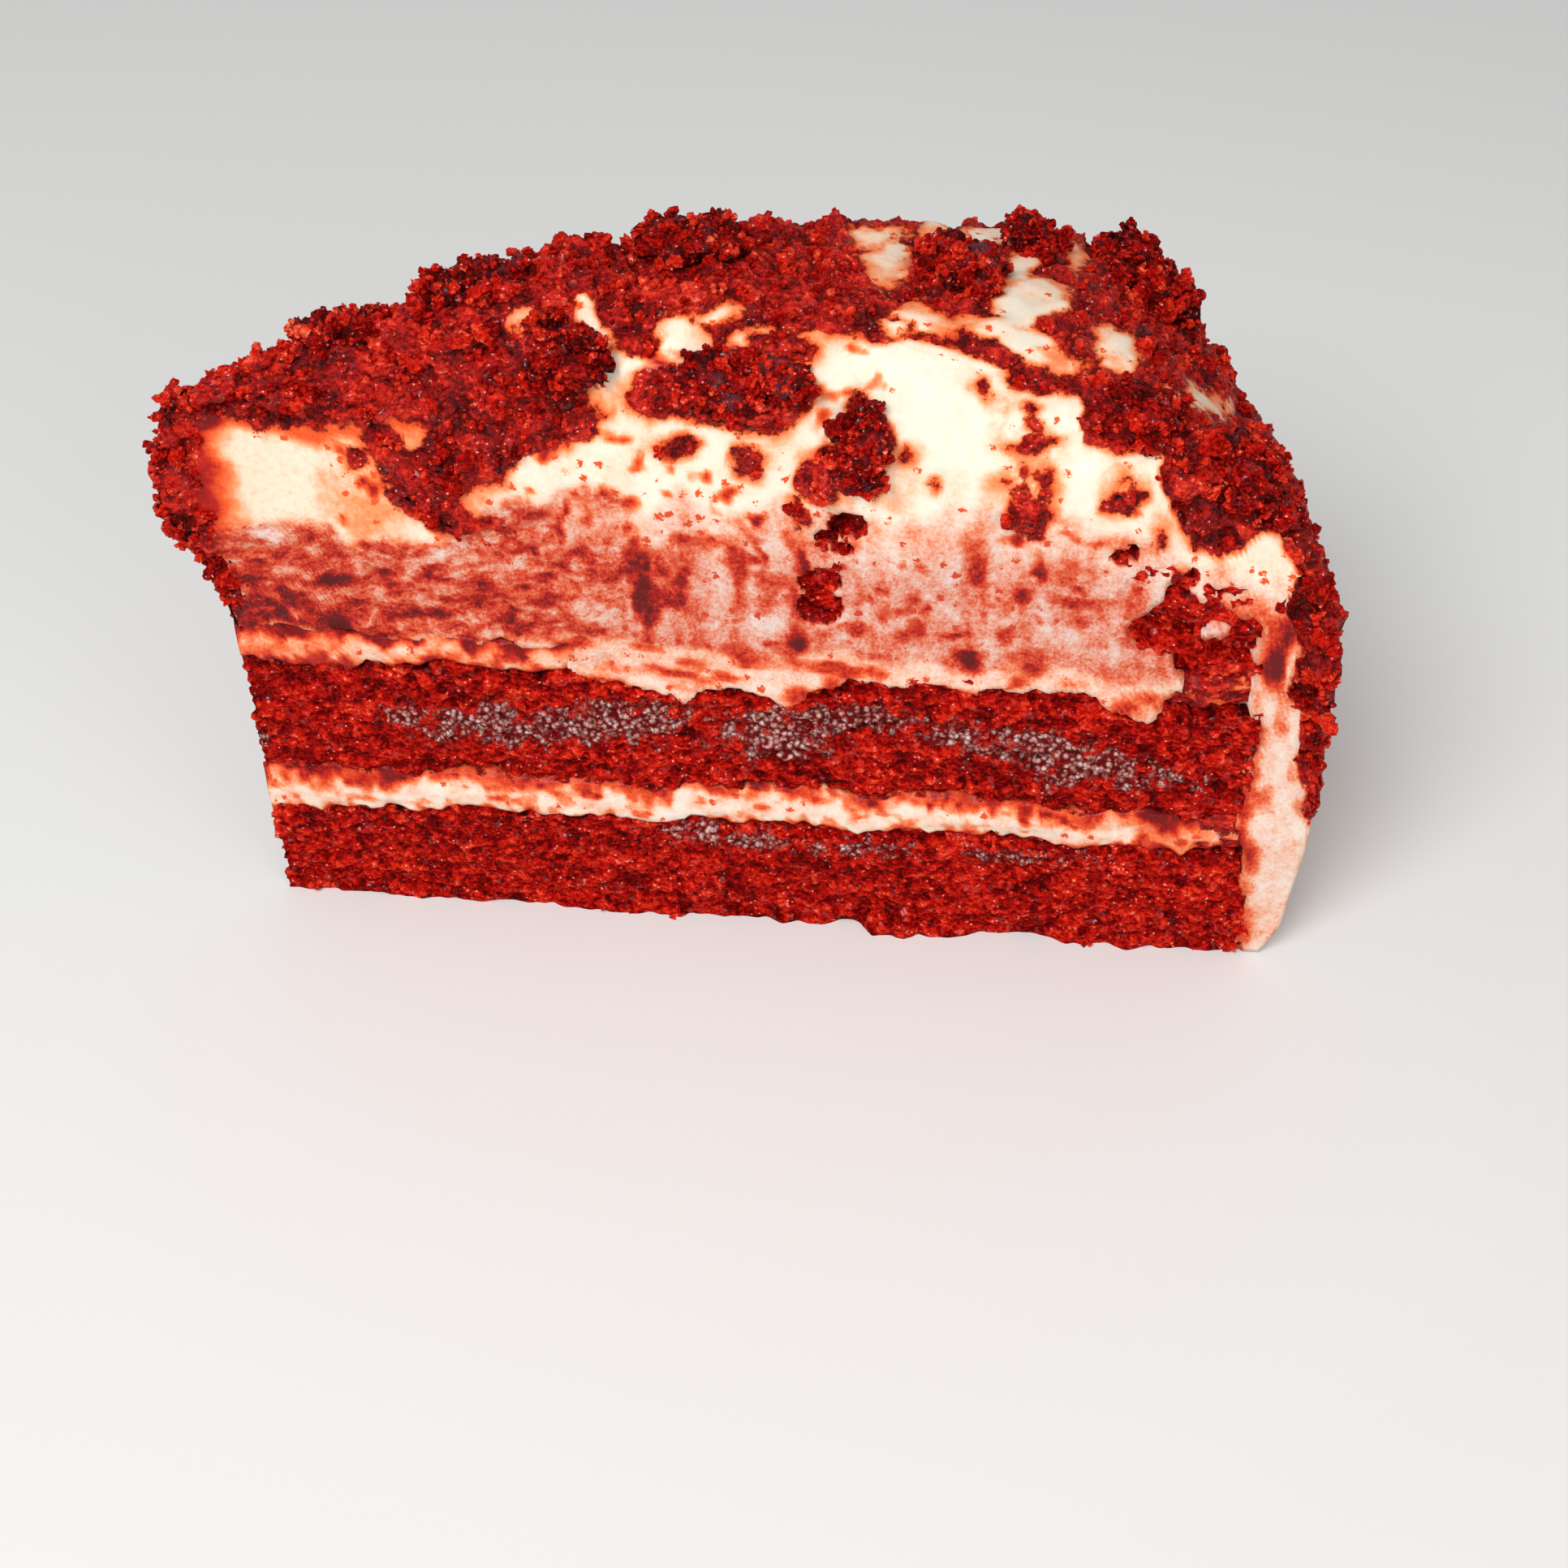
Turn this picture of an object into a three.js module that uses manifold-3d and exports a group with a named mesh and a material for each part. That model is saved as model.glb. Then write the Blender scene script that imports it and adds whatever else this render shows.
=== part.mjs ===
// A slice of red velvet cake, resting on its base.
// Three sponge layers and two cream layers run through it. A thick frosting lies over the top and
// down the outer side, rolled in cake crumbs, and larger crumb clumps sit on the frosting.
//
// While the slice is built, the cake's centre is the origin: the front cut face is the plane y = 0
// and runs along +X from the tip to the outer side, the back cut face is turned from it by
// CUT_ANGLE, and +Z is up. At the end the slice is moved so that the origin is at the middle of
// its base. All lengths are millimetres.
import * as THREE from 'three';
import { mergeVertices } from 'three/addons/utils/BufferGeometryUtils.js';
import Module from 'manifold-3d';

const wasm = await Module();
wasm.setup();

const DEG = Math.PI / 180;

// ---- The cut and the sponge ----
const CUT_ANGLE = 26 * DEG; // between the two cut faces
const TIP_RADIUS = 1.1; // the blunt tip ends this far from the cake's centre
const SPONGE_RADIUS = 114.7; // of the sponge layers above the flared foot
const FOOT_FLARE = 2.6; // how much wider the sponge is at its base
const FOOT_HEIGHT = 20; // where the flare has gone
const LAYER_GAP = 0.35; // clearance between neighbouring pieces
const SPONGE_RELIEF = 0.55; // depth of the torn crumb on the cut faces
const CREAM_RELIEF = 0.3; // depth of the knife's marks in the cream
const RELIEF_SIZE = 7; // width of one bump of either
// The height of each layer's top, and how far it dips towards the tip over the distance `reach`.
const LAYERS = {
  lowerSponge: { top: 15.3, dip: 3, reach: 18 },
  lowerCream: { top: 20.7, dip: 2, reach: 25 },
  middleSponge: { top: 35.3, dip: 0.6, reach: 20 },
  upperCream: { top: 39.9, dip: 0, reach: 20 },
  upperSponge: { top: 56, dip: 3.2, reach: 18 },
};
const UPPER_RIM = { dip: 4.5, from: 92, to: 116 }; // the upper sponge slopes down near its rim
const LAYER_OUTLINE = { cut: 23, side: 9 }; // points along each part of the outline

// ---- The frosting ----
const FROSTING_FOOT = 0.4; // height of the lower edge of the frosted side
const CREST_HEIGHT = 79.9; // highest part of the domed top
const CREST_RADIUS = 43; // distance of the crest from the cake's centre
const TIP_DROP = 11.6; // how much lower the top is at the centre
const RIM_DROP = 9.5; // how much lower the top is RIM_SPAN further out than the crest
const RIM_SPAN = 60;
const OUTER_RADIUS = 119.5; // of the frosted side where the shoulder starts
const SIDE_BELLY = 2.3; // how far the frosted side bulges below the shoulder
const BELLY_HEIGHT = 60;
const FOOT_TUCK = 1.4; // how far the frosting draws in at its foot
const TUCK_HEIGHT = 5;
const NOSE_REACH = 4.6; // the frosting dragged out past the tip by the knife
const NOSE_HEIGHT = 60;
const NOSE_FOOT = 48; // below it the tip is bare
const NOSE_SPREAD = 8.5; // above that height
const NOSE_UNDERCUT = 10; // below it, where it ends more sharply
const NOSE_WIDTH = 5; // how much wider than the sponge's tip
const NOSE_LENGTH = 7; // how far back from the tip it starts to widen
// Each shoulder rounds the top edge over this width and drop.
const FRONT_SHOULDER = { width: 13, drop: 16 };
const BACK_SHOULDER = { width: 5, drop: 6 };
const OUTER_SHOULDER = { width: 22, drop: 20 };
// Behind the front cut the outer shoulder has slumped: it drops further, over these distances from
// the cake's centre and from the front cut.
const SLUMP = { drop: 2.5, from: 92, to: 114, starts: [3, 12], ends: [38, 46] };

// ---- Crumbs ----
const LUMPS = { count: 20, least: 2.6, most: 3.7, detail: 1, apart: 1.35 };
const CRUMBS = { count: 138, least: 1.2, most: 2.3, detail: 0, apart: 1.0 };
const BURIED_TOP = 0.45; // share of a crumb's width that is sunk in the frosting on top
const BURIED_SIDE = 0.72; // and on the sides

// ---- Colours ----
const SPONGE_COLOUR = 0x9a1408;
const CREAM_COLOUR = 0xf6e6d2;
const FROSTING_COLOUR = 0xb23a30;
const CLUMP_COLOUR = 0x6f0b08;

const clamp = (value, low, high) => Math.min(high, Math.max(low, value));
const mix = (a, b, share) => a + (b - a) * share;
const step = (low, high, value) => {
  const share = clamp((value - low) / (high - low), 0, 1);
  return share * share * (3 - 2 * share);
};

// A repeatable source of random numbers from 0 to 1.
function randomSource(seed) {
  let state = seed;
  return () => {
    state = (state + 0x6d2b79f5) | 0;
    let t = Math.imul(state ^ (state >>> 15), 1 | state);
    t = (t + Math.imul(t ^ (t >>> 7), 61 | t)) ^ t;
    return ((t ^ (t >>> 14)) >>> 0) / 4294967296;
  };
}

// A smooth uneven field from -1 to 1, whose bumps are about `size` across.
function unevenness(x, y, z, size) {
  const k = (2 * Math.PI) / size;
  const a = Math.sin(k * (0.83 * x + 0.31 * y + 0.41 * z) + 1.3);
  const b = Math.sin(k * (-0.47 * x + 0.72 * y + 0.59 * z) + 4.1);
  const c = Math.sin(k * (0.29 * x - 0.66 * y + 0.87 * z) + 2.2);
  return (a + b + c) / 3 + 0.35 * a * b;
}

// ---- The slice seen from above ----

// The outline's points in order: front cut, outer side, back cut and blunt tip, anticlockwise.
// The two cuts share their end points with the side and the tip.
function outlineStations({ cut, side }) {
  const stations = [];
  const add = (kind, count, from, to) => {
    for (let i = 0; i < count; i++) stations.push({ kind, share: mix(from, to, i / count) });
  };
  add('front', cut, 0, 1);
  add('side', side, 0, 1);
  add('back', cut, 1, 0);
  add('tip', 1, 0, 1);
  return stations;
}

// Where a station lies for a given outer radius, with the outline's outward direction there.
function place({ kind, share }, radius) {
  const along = mix(TIP_RADIUS, radius, share);
  if (kind === 'front') return { x: along, y: 0, nx: 0, ny: -1 };
  if (kind === 'side' && share === 0) return { x: radius, y: 0, nx: 0, ny: -1 };
  const [c, s] = [Math.cos(CUT_ANGLE), Math.sin(CUT_ANGLE)];
  if (kind === 'back') return { x: along * c, y: along * s, nx: -s, ny: c };
  if (kind === 'tip') return { x: TIP_RADIUS * c, y: TIP_RADIUS * s, nx: -s, ny: c };
  const angle = share * CUT_ANGLE;
  const [nx, ny] = [Math.cos(angle), Math.sin(angle)];
  return { x: radius * nx, y: radius * ny, nx, ny };
}

const middleOf = (ring) =>
  ring.reduce((sum, p) => sum.add(p), new THREE.Vector3()).multiplyScalar(1 / ring.length);

// A closed geometry through rings of equal length, lowest first, with a fan over each end.
function loft(rings, bottom = middleOf(rings[0]), top = middleOf(rings.at(-1))) {
  const n = rings[0].length;
  const points = [...rings.flat(), bottom, top];
  const faces = [];
  const at = (ring, i) => ring * n + (i % n);
  for (let ring = 0; ring < rings.length - 1; ring++) {
    for (let i = 0; i < n; i++) {
      faces.push(at(ring, i), at(ring, i + 1), at(ring + 1, i + 1));
      faces.push(at(ring, i), at(ring + 1, i + 1), at(ring + 1, i));
    }
  }
  for (let i = 0; i < n; i++) {
    faces.push(points.length - 2, at(0, i + 1), at(0, i));
    faces.push(points.length - 1, at(rings.length - 1, i), at(rings.length - 1, i + 1));
  }
  return new THREE.BufferGeometry().setFromPoints(points).setIndex(faces);
}

// ---- Joining and cutting ----
function toSolid(geometry) {
  const bare = geometry.clone();
  bare.deleteAttribute('normal');
  bare.deleteAttribute('uv');
  const merged = mergeVertices(bare, 1e-4);
  const vertProperties = new Float32Array(merged.attributes.position.array);
  const triVerts = new Uint32Array(merged.index.array);
  return new wasm.Manifold(new wasm.Mesh({ numProp: 3, vertProperties, triVerts }));
}

function toGeometry(solid) {
  const { numProp, vertProperties, triVerts } = solid.getMesh();
  const points = [];
  for (let i = 0; i < vertProperties.length; i += numProp) {
    points.push(new THREE.Vector3().fromArray(vertProperties, i));
  }
  return new THREE.BufferGeometry().setFromPoints(points).setIndex([...triVerts]);
}

const largestOf = (solid) =>
  solid.decompose().reduce((best, one) => (one.volume() > best.volume() ? one : best));

// ---- Heights of the layers, by distance r from the cake's centre ----
const ripple = (x, y) => 0.45 * Math.sin(0.23 * x + 0.1 * y + 1) + 0.3 * Math.sin(0.51 * x - 0.4 * y);
function layerTop(name, r) {
  const { top, dip, reach } = LAYERS[name];
  const rim = name === 'upperSponge' ? UPPER_RIM.dip * step(UPPER_RIM.from, UPPER_RIM.to, r) : 0;
  return top - dip * Math.exp(-r / reach) - rim;
}
const heightOf = (name, x, y) => layerTop(name, Math.hypot(x, y)) + ripple(x, y);
const spongeRadius = (z) => SPONGE_RADIUS + FOOT_FLARE * (1 - step(0, FOOT_HEIGHT, z));

// A sponge or cream layer, from the top of the layer under it to its own top.
function layer(name, under, rows, relief) {
  const stations = outlineStations(LAYER_OUTLINE);
  const rings = rows.map((share) =>
    stations.map((station) => {
      const guess = place(station, SPONGE_RADIUS);
      const low = under ? heightOf(under, guess.x, guess.y) + LAYER_GAP : 0;
      const high = heightOf(name, guess.x, guess.y);
      const z = mix(low, high, share);
      const p = place(station, spongeRadius(z));
      const cutFace = station.kind !== 'side';
      const depth = relief * step(0, 16, p.x);
      const torn = cutFace ? depth * (unevenness(p.x, p.y, z, RELIEF_SIZE) - 0.35) : 0;
      return new THREE.Vector3(p.x + p.nx * torn, p.y + p.ny * torn, z);
    }),
  );
  const bottom = middleOf(rings[0]);
  const top = middleOf(rings.at(-1));
  if (!under) rings[0].forEach((p) => p.setZ(0));
  return { geometry: loft(rings, bottom, top), topRing: rings.at(-1), topMiddle: top };
}

// ---- The frosting's outer form ----
const dome = (r) =>
  CREST_HEIGHT -
  (r < CREST_RADIUS
    ? TIP_DROP * ((CREST_RADIUS - r) / CREST_RADIUS) ** 2
    : RIM_DROP * ((r - CREST_RADIUS) / RIM_SPAN) ** 2);

// How far an edge's rounding lowers the top at a distance from that edge.
function shoulderDrop(distance, { width, drop }) {
  const share = clamp(1 - distance / width, 0, 1);
  return drop * (1 - Math.sqrt(1 - share * share));
}

// The shoulders near a place: they narrow with the slice towards its tip.
function shouldersAt(x, y) {
  const r = Math.hypot(x, y);
  const thickness = Math.max(0.5, r * CUT_ANGLE);
  const growth = step(-4, 34, x);
  const fade = 1 - 0.7 * step(80, 108, x);
  return {
    front: {
      width: Math.min(FRONT_SHOULDER.width, 0.45 * thickness),
      drop: Math.max(3.5, FRONT_SHOULDER.drop * growth) * fade,
    },
    back: {
      width: Math.min(BACK_SHOULDER.width, 0.25 * thickness),
      drop: mix(3.5, BACK_SHOULDER.drop, growth),
    },
  };
}

function topHeight(x, y) {
  const r = Math.hypot(x, y);
  const fromBack = x * Math.sin(CUT_ANGLE) - y * Math.cos(CUT_ANGLE);
  const { front, back } = shouldersAt(x, y);
  const drops = shoulderDrop(Math.max(0, y), front) + shoulderDrop(Math.max(0, fromBack), back);
  const slumped = step(...SLUMP.starts, y) * (1 - step(...SLUMP.ends, y));
  const slump = SLUMP.drop * step(SLUMP.from, SLUMP.to, r) * slumped;
  return dome(Math.max(r, 3)) - drops - slump - shoulderDrop(Math.max(0, OUTER_RADIUS - r), OUTER_SHOULDER);
}

const sideRadius = (z) =>
  OUTER_RADIUS +
  SIDE_BELLY * Math.sqrt(Math.sin(Math.PI * clamp(z / BELLY_HEIGHT, 0, 1))) -
  FOOT_TUCK * clamp(1 - z / TUCK_HEIGHT, 0, 1);

// The knife dragged the frosting past the tip and widened it there: a share, by height.
const noseShare = (z) =>
  z > NOSE_HEIGHT
    ? Math.exp(-(((z - NOSE_HEIGHT) / NOSE_SPREAD) ** 2))
    : Math.exp(-(((z - NOSE_HEIGHT) / NOSE_UNDERCUT) ** 4));

// A point of the frosting's surface at distance r and turn `share` (0 at the front cut, 1 at the
// back cut), moved out by the side's belly and by the nose.
function frostingPoint(r, share, z) {
  const outerness = step(0.7, 1, r / OUTER_RADIUS);
  const swell = 1 + (sideRadius(Math.min(z, BELLY_HEIGHT)) / OUTER_RADIUS - 1) * outerness;
  const angle = share * CUT_ANGLE;
  const point = new THREE.Vector3(r * swell * Math.cos(angle), r * swell * Math.sin(angle), z);
  const drag = noseShare(z) * Math.exp(-((r / NOSE_LENGTH) ** 2));
  point.x -= NOSE_REACH * drag;
  point.y += NOSE_WIDTH * (share - 0.5) * drag;
  return point;
}

// The frosted body before the layers are cut from it: a grid over the top, and walls below its edge.
function frostingBody() {
  const rim = OUTER_SHOULDER.width;
  const inner = Array.from({ length: 15 }, (_, i) => mix(TIP_RADIUS, OUTER_RADIUS - rim, (i / 14) ** 1.15));
  const outer = [0.72, 0.48, 0.27, 0.11, 0.02, 0].map((share) => OUTER_RADIUS - rim * share);
  const radii = [...inner, ...outer];
  const curve = [0, 0.04, 0.2, 0.5];
  const grid = radii.map((r) => {
    const { front, back } = shouldersAt(r, 0);
    const arc = r * CUT_ANGLE;
    const [f, b] = [front.width / arc, back.width / arc];
    const middle = [0, 0.33, 0.67, 1].map((share) => mix(f, 1 - b, share));
    const turns = [...curve.map((c) => c * f), ...middle, ...curve.map((c) => 1 - c * b).reverse()];
    return turns.map((share) => {
      const z = topHeight(r * Math.cos(share * CUT_ANGLE), r * Math.sin(share * CUT_ANGLE));
      return { r, share, z };
    });
  });
  const rows = grid.length;
  const columns = grid[0].length;
  const points = grid.flat().map(({ r, share, z }) => frostingPoint(r, share, z));
  const faces = [];
  for (let i = 0; i < rows - 1; i++) {
    for (let j = 0; j < columns - 1; j++) {
      const a = i * columns + j;
      const b = a + columns;
      faces.push(a, b, b + 1, a, b + 1, a + 1);
    }
  }
  // The grid's edge in order: front cut, outer side, back cut, tip.
  const edge = [
    ...grid.map((row) => row[0]),
    ...grid[rows - 1].slice(1),
    ...grid.slice(0, -1).reverse().map((row) => row[columns - 1]),
    ...grid[0].slice(1, -1).reverse(),
  ];
  const walls = [0, 0.15, 0.32, 0.5, 0.68, 0.8, 0.9, 1].map((share) =>
    edge.map((p) => frostingPoint(p.r, p.share, mix(FROSTING_FOOT, p.z, share))),
  );
  const first = points.length;
  const n = edge.length;
  points.push(...walls.flat(), middleOf(walls[0]));
  for (let ring = 0; ring < walls.length - 1; ring++) {
    for (let i = 0; i < n; i++) {
      const [a, b] = [first + ring * n + i, first + ring * n + ((i + 1) % n)];
      faces.push(a, b, b + n, a, b + n, a + n);
    }
  }
  for (let i = 0; i < n; i++) faces.push(points.length - 1, first + ((i + 1) % n), first + i);
  return new THREE.BufferGeometry().setFromPoints(points).setIndex(faces);
}

// The space that the sponge and cream layers fill, run out past both cut faces, and past the tip
// below the nose.
function layersSpace(topRing, topMiddle) {
  const stations = outlineStations(LAYER_OUTLINE);
  const reach = 8;
  const outside = (station, z) => {
    const p = place(station, spongeRadius(z) + LAYER_GAP);
    const atTip = station.kind === 'tip' || (station.kind === 'front' && station.share === 0);
    const past = station.kind === 'side' && station.share > 0 ? 0 : reach;
    const point = new THREE.Vector3(p.x + p.nx * past, p.y + p.ny * past, z);
    if (atTip) point.x = z < NOSE_FOOT ? -reach : TIP_RADIUS - LAYER_GAP;
    return point;
  };
  const heights = [-4, 7, 13, FOOT_HEIGHT, NOSE_FOOT - 0.5, NOSE_FOOT + 0.5];
  const walls = heights.map((z) => stations.map((station) => outside(station, z)));
  const brim = stations.map((station, i) => outside(station, topRing[i].z + LAYER_GAP));
  const lid = topRing.map((p) => new THREE.Vector3(p.x, p.y, p.z + LAYER_GAP));
  const pole = topMiddle.clone();
  pole.z += LAYER_GAP;
  return toSolid(loft([...walls, brim, lid], undefined, pole));
}

// ---- Where the crumbs lie ----

// Bare frosting on the top, as [x, y, reach along x, reach along y].
const BARE_TOP = [
  [46, 6, 6, 8], [58, 6, 4, 5], [76, 4, 11, 7], [75, 17, 4, 7],
  [86, 15, 5, 10], [82, 30, 5, 4], [100, 6, 3, 3],
];
// Crumb patches that run down the front cut, as [x, z, reach along x, reach along z].
const FRONT_PATCHES = [
  [8, 68, 14, 4], [29, 70, 20, 8], [41, 66, 9, 5], [28, 60, 4, 6],
  [92, 66, 3, 7], [101, 69, 7, 6], [110, 65, 9, 7],
];
const within = (u, v, [u0, v0, du, dv]) => ((u - u0) / du) ** 2 + ((v - v0) / dv) ** 2 < 1;

function crumbed(x, y, z) {
  const edge = 1.5 * unevenness(x, y, z, 9);
  const r = Math.hypot(x, y);
  const fromBack = x * Math.sin(CUT_ANGLE) - y * Math.cos(CUT_ANGLE);
  if (r > OUTER_RADIUS - 9) return z + edge > 42 || unevenness(x, y, z, 14) > 0.25;
  if (x < 4) return z > 50;
  if (y < 8) return FRONT_PATCHES.some((patch) => within(x + edge, z, patch));
  if (fromBack < 1.5) return z + edge > 68;
  return !BARE_TOP.some((patch) => within(x + edge, y + edge, patch));
}

// One crumb: a small stone-like solid, its corners pushed in and out.
function crumbSolid(radius, detail, random, centre) {
  const geometry = mergeVertices(
    new THREE.IcosahedronGeometry(radius, detail).deleteAttribute('normal').deleteAttribute('uv'),
  );
  const corners = geometry.attributes.position;
  const turn = new THREE.Euler(random() * 6, random() * 6, random() * 6);
  for (let i = 0; i < corners.count; i++) {
    const corner = new THREE.Vector3().fromBufferAttribute(corners, i);
    corner.multiplyScalar(mix(0.78, 1.2, random())).applyEuler(turn).add(centre);
    corners.setXYZ(i, corner.x, corner.y, corner.z);
  }
  return toSolid(geometry);
}

// Spreads crumbs over the frosting where `crumbed` says, larger ones first, none too close.
function spreadCrumbs(surface, kinds, keepClear, random) {
  const solids = [];
  const taken = [];
  const { position, normal } = surface.attributes;
  for (const kind of kinds) {
    let made = 0;
    for (let trial = 0; trial < 60000 && made < kind.count; trial++) {
      const face = 3 * Math.floor((random() * position.count) / 3);
      const [a, b, c] = [0, 1, 2].map((k) => new THREE.Vector3().fromBufferAttribute(position, face + k));
      const area = new THREE.Triangle(a, b, c).getArea();
      if (random() * 14 > area) continue; // so that each part of the surface gets its share
      let [u, v] = [random(), random()];
      if (u + v > 1) [u, v] = [1 - u, 1 - v];
      const spot = a.clone().addScaledVector(b.clone().sub(a), u).addScaledVector(c.clone().sub(a), v);
      const out = new THREE.Vector3().fromBufferAttribute(normal, face);
      const size = mix(kind.most, kind.least, made / kind.count);
      const lowest = layerTop('upperSponge', Math.hypot(spot.x, spot.y)) + size + 2;
      const overSponge = Math.hypot(spot.x, spot.y) < OUTER_RADIUS - 5;
      if (out.z < -0.4 || spot.z < size + 1.5 || (overSponge && spot.z < lowest)) continue;
      if (!crumbed(spot.x, spot.y, spot.z)) continue;
      const crowded = taken.some((t) => t.spot.distanceTo(spot) < kind.apart * (t.size + size));
      if (crowded || keepClear.some((k) => k.spot.distanceTo(spot) < k.size + size + 0.6)) continue;
      const buried = mix(BURIED_SIDE, BURIED_TOP, step(0.2, 0.8, out.z));
      const centre = spot.clone().addScaledVector(out, size * (1 - 2 * buried));
      solids.push(crumbSolid(size, kind.detail, random, centre));
      taken.push({ spot, size });
      made++;
    }
  }
  return solids;
}

// ---- Crumb clumps as large as berries ----
// Each lies on the frosting at (x, y): its width, its extent over the surface and its thickness.
const CLUMPS = [
  { name: 'clump_back_ridge', x: 86.5, y: 33, wide: 7.5, long: 10, thick: 6.5 },
  { name: 'clump_top', x: 79.5, y: 21, wide: 10, long: 11, thick: 5.5 },
  { name: 'clump_crest', x: 51, y: 18, wide: 12, long: 12, thick: 2.6 },
  { name: 'clump_front_dark', x: 58.4, y: 2.2, wide: 14.5, long: 7, thick: 4.6 },
  { name: 'clump_shoulder_right', x: 110.5, y: 4.5, wide: 11.5, long: 11, thick: 5.2 },
  { name: 'clump_shoulder_middle', x: 99, y: 4.5, wide: 9, long: 8, thick: 5 },
  { name: 'clump_drip', x: 70.8, y: 0.6, wide: 6.4, long: 10.5, thick: 4.2 },
  { name: 'clump_back_corner', x: 99, y: 39, wide: 15, long: 15, thick: 9.5 },
  { name: 'clump_tip_ledge', x: 16.8, y: 5, wide: 11, long: 6, thick: 2.6 },
  { name: 'clump_left_crest', x: 31, y: 8, wide: 12, long: 8, thick: 3.2 },
  { name: 'clump_left_low', x: 40, y: 2, wide: 10, long: 8, thick: 5 },
];

// The frosting's surface and outward direction above a place on the plan.
function surfaceAt(x, y) {
  const h = 0.4; // half the span over which the slope is taken
  const dx = (topHeight(x + h, y) - topHeight(x - h, y)) / (2 * h);
  const dy = (topHeight(x, y + h) - topHeight(x, Math.max(y - h, 0))) / (h + Math.min(h, y));
  const out = new THREE.Vector3(-dx, -dy, 1).normalize();
  return { spot: new THREE.Vector3(x, y, topHeight(x, y)), out };
}

function clumpSolid({ x, y, wide, long, thick }, random) {
  const { spot, out } = surfaceAt(x, y);
  const geometry = mergeVertices(
    new THREE.IcosahedronGeometry(1, 2).deleteAttribute('normal').deleteAttribute('uv'),
  );
  const along = new THREE.Vector3(1, 0, 0).addScaledVector(out, -out.x).normalize();
  const frame = new THREE.Matrix4().makeBasis(along, out.clone().cross(along), out).setPosition(spot);
  const corners = geometry.attributes.position;
  for (let i = 0; i < corners.count; i++) {
    const corner = new THREE.Vector3().fromBufferAttribute(corners, i);
    const dents = unevenness(corner.x + x, corner.y, corner.z, 1);
    const bumpy = 1 + 0.16 * dents + 0.1 * (random() - 0.5);
    corner.multiply(new THREE.Vector3(wide / 2, long / 2, thick * 0.6)).multiplyScalar(bumpy);
    corner.applyMatrix4(frame);
    corners.setXYZ(i, corner.x, corner.y, corner.z);
  }
  return toSolid(geometry);
}

// Cuts a clump to the frosting under it, so that it rests on it with the usual clearance from the
// top and from the nearer cut face.
function seatOn(clump, frosting, { x, y }) {
  const nearFront = y < x * Math.tan(CUT_ANGLE / 2);
  const lift = nearFront ? [0, -1, 1] : [-Math.sin(CUT_ANGLE), Math.cos(CUT_ANGLE), 1];
  return largestOf(clump.subtract(frosting.translate(lift.map((share) => share * LAYER_GAP))));
}

// ---- The whole slice ----
const material = (color, roughness) => new THREE.MeshStandardMaterial({ color, roughness, metalness: 0 });
const sponge = material(SPONGE_COLOUR, 0.85);
const cream = material(CREAM_COLOUR, 0.4);
const frosted = material(FROSTING_COLOUR, 0.55);
const clumped = material(CLUMP_COLOUR, 0.75);

const slice = new THREE.Group();

function addPiece(name, geometry, finish) {
  const mesh = new THREE.Mesh(geometry, finish);
  mesh.name = name;
  slice.add(mesh);
}

const SPONGE_ROWS = [0, 0.33, 0.67, 1];
const CREAM_ROWS = [0, 0.5, 1];
const upperSponge = layer('upperSponge', 'upperCream', SPONGE_ROWS, SPONGE_RELIEF);
addPiece('sponge_lower', layer('lowerSponge', null, SPONGE_ROWS, SPONGE_RELIEF).geometry, sponge);
addPiece('cream_lower', layer('lowerCream', 'lowerSponge', CREAM_ROWS, CREAM_RELIEF).geometry, cream);
addPiece('sponge_middle', layer('middleSponge', 'lowerCream', SPONGE_ROWS, SPONGE_RELIEF).geometry, sponge);
addPiece('cream_upper', layer('upperCream', 'middleSponge', CREAM_ROWS, CREAM_RELIEF).geometry, cream);
addPiece('sponge_upper', upperSponge.geometry, sponge);

const body = frostingBody();
const uncrumbed = toSolid(body);
const inside = layersSpace(upperSponge.topRing, upperSponge.topMiddle);

const random = randomSource(11);
const clumps = CLUMPS.map((clump) => ({ ...clump, ...surfaceAt(clump.x, clump.y) }));
const keepClear = clumps.map(({ spot, wide, long }) => ({ spot, size: 0.66 * Math.max(wide, long) }));
const surface = body.toNonIndexed();
surface.computeVertexNormals();
const crumbs = spreadCrumbs(surface, [LUMPS, CRUMBS], keepClear, random);
const frosting = largestOf(wasm.Manifold.union([uncrumbed, ...crumbs]).subtract(inside));
addPiece('frosting', toGeometry(frosting), frosted);
for (const clump of clumps) {
  addPiece(clump.name, toGeometry(seatOn(clumpSolid(clump, random), uncrumbed, clump)), clumped);
}

// The origin goes to the middle of the base.
const bounds = new THREE.Box3().setFromObject(slice);
const middle = bounds.getCenter(new THREE.Vector3());
slice.children.forEach((mesh) => mesh.geometry.translate(-middle.x, -middle.y, -bounds.min.z));

export default slice;
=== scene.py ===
# %% [markdown]
# # A slice of red velvet cake
# The slice stands on its base with one cut face towards the camera. Under the looks lies a packed
# model with plain solids: three sponges, two creams, the frosting and the crumb clumps. This lesson
# dresses each of them. It works in the slice's own coordinates, in millimetres: s or x runs along
# the front cut face from the tip, d or y runs back from that face, and z is up. Only at the very end
# are points turned into Blender's metres, so the numbers below can be read like a ruler.

import math

import bmesh
import bpy
import numpy as np
from mathutils import Matrix, Vector


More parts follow.
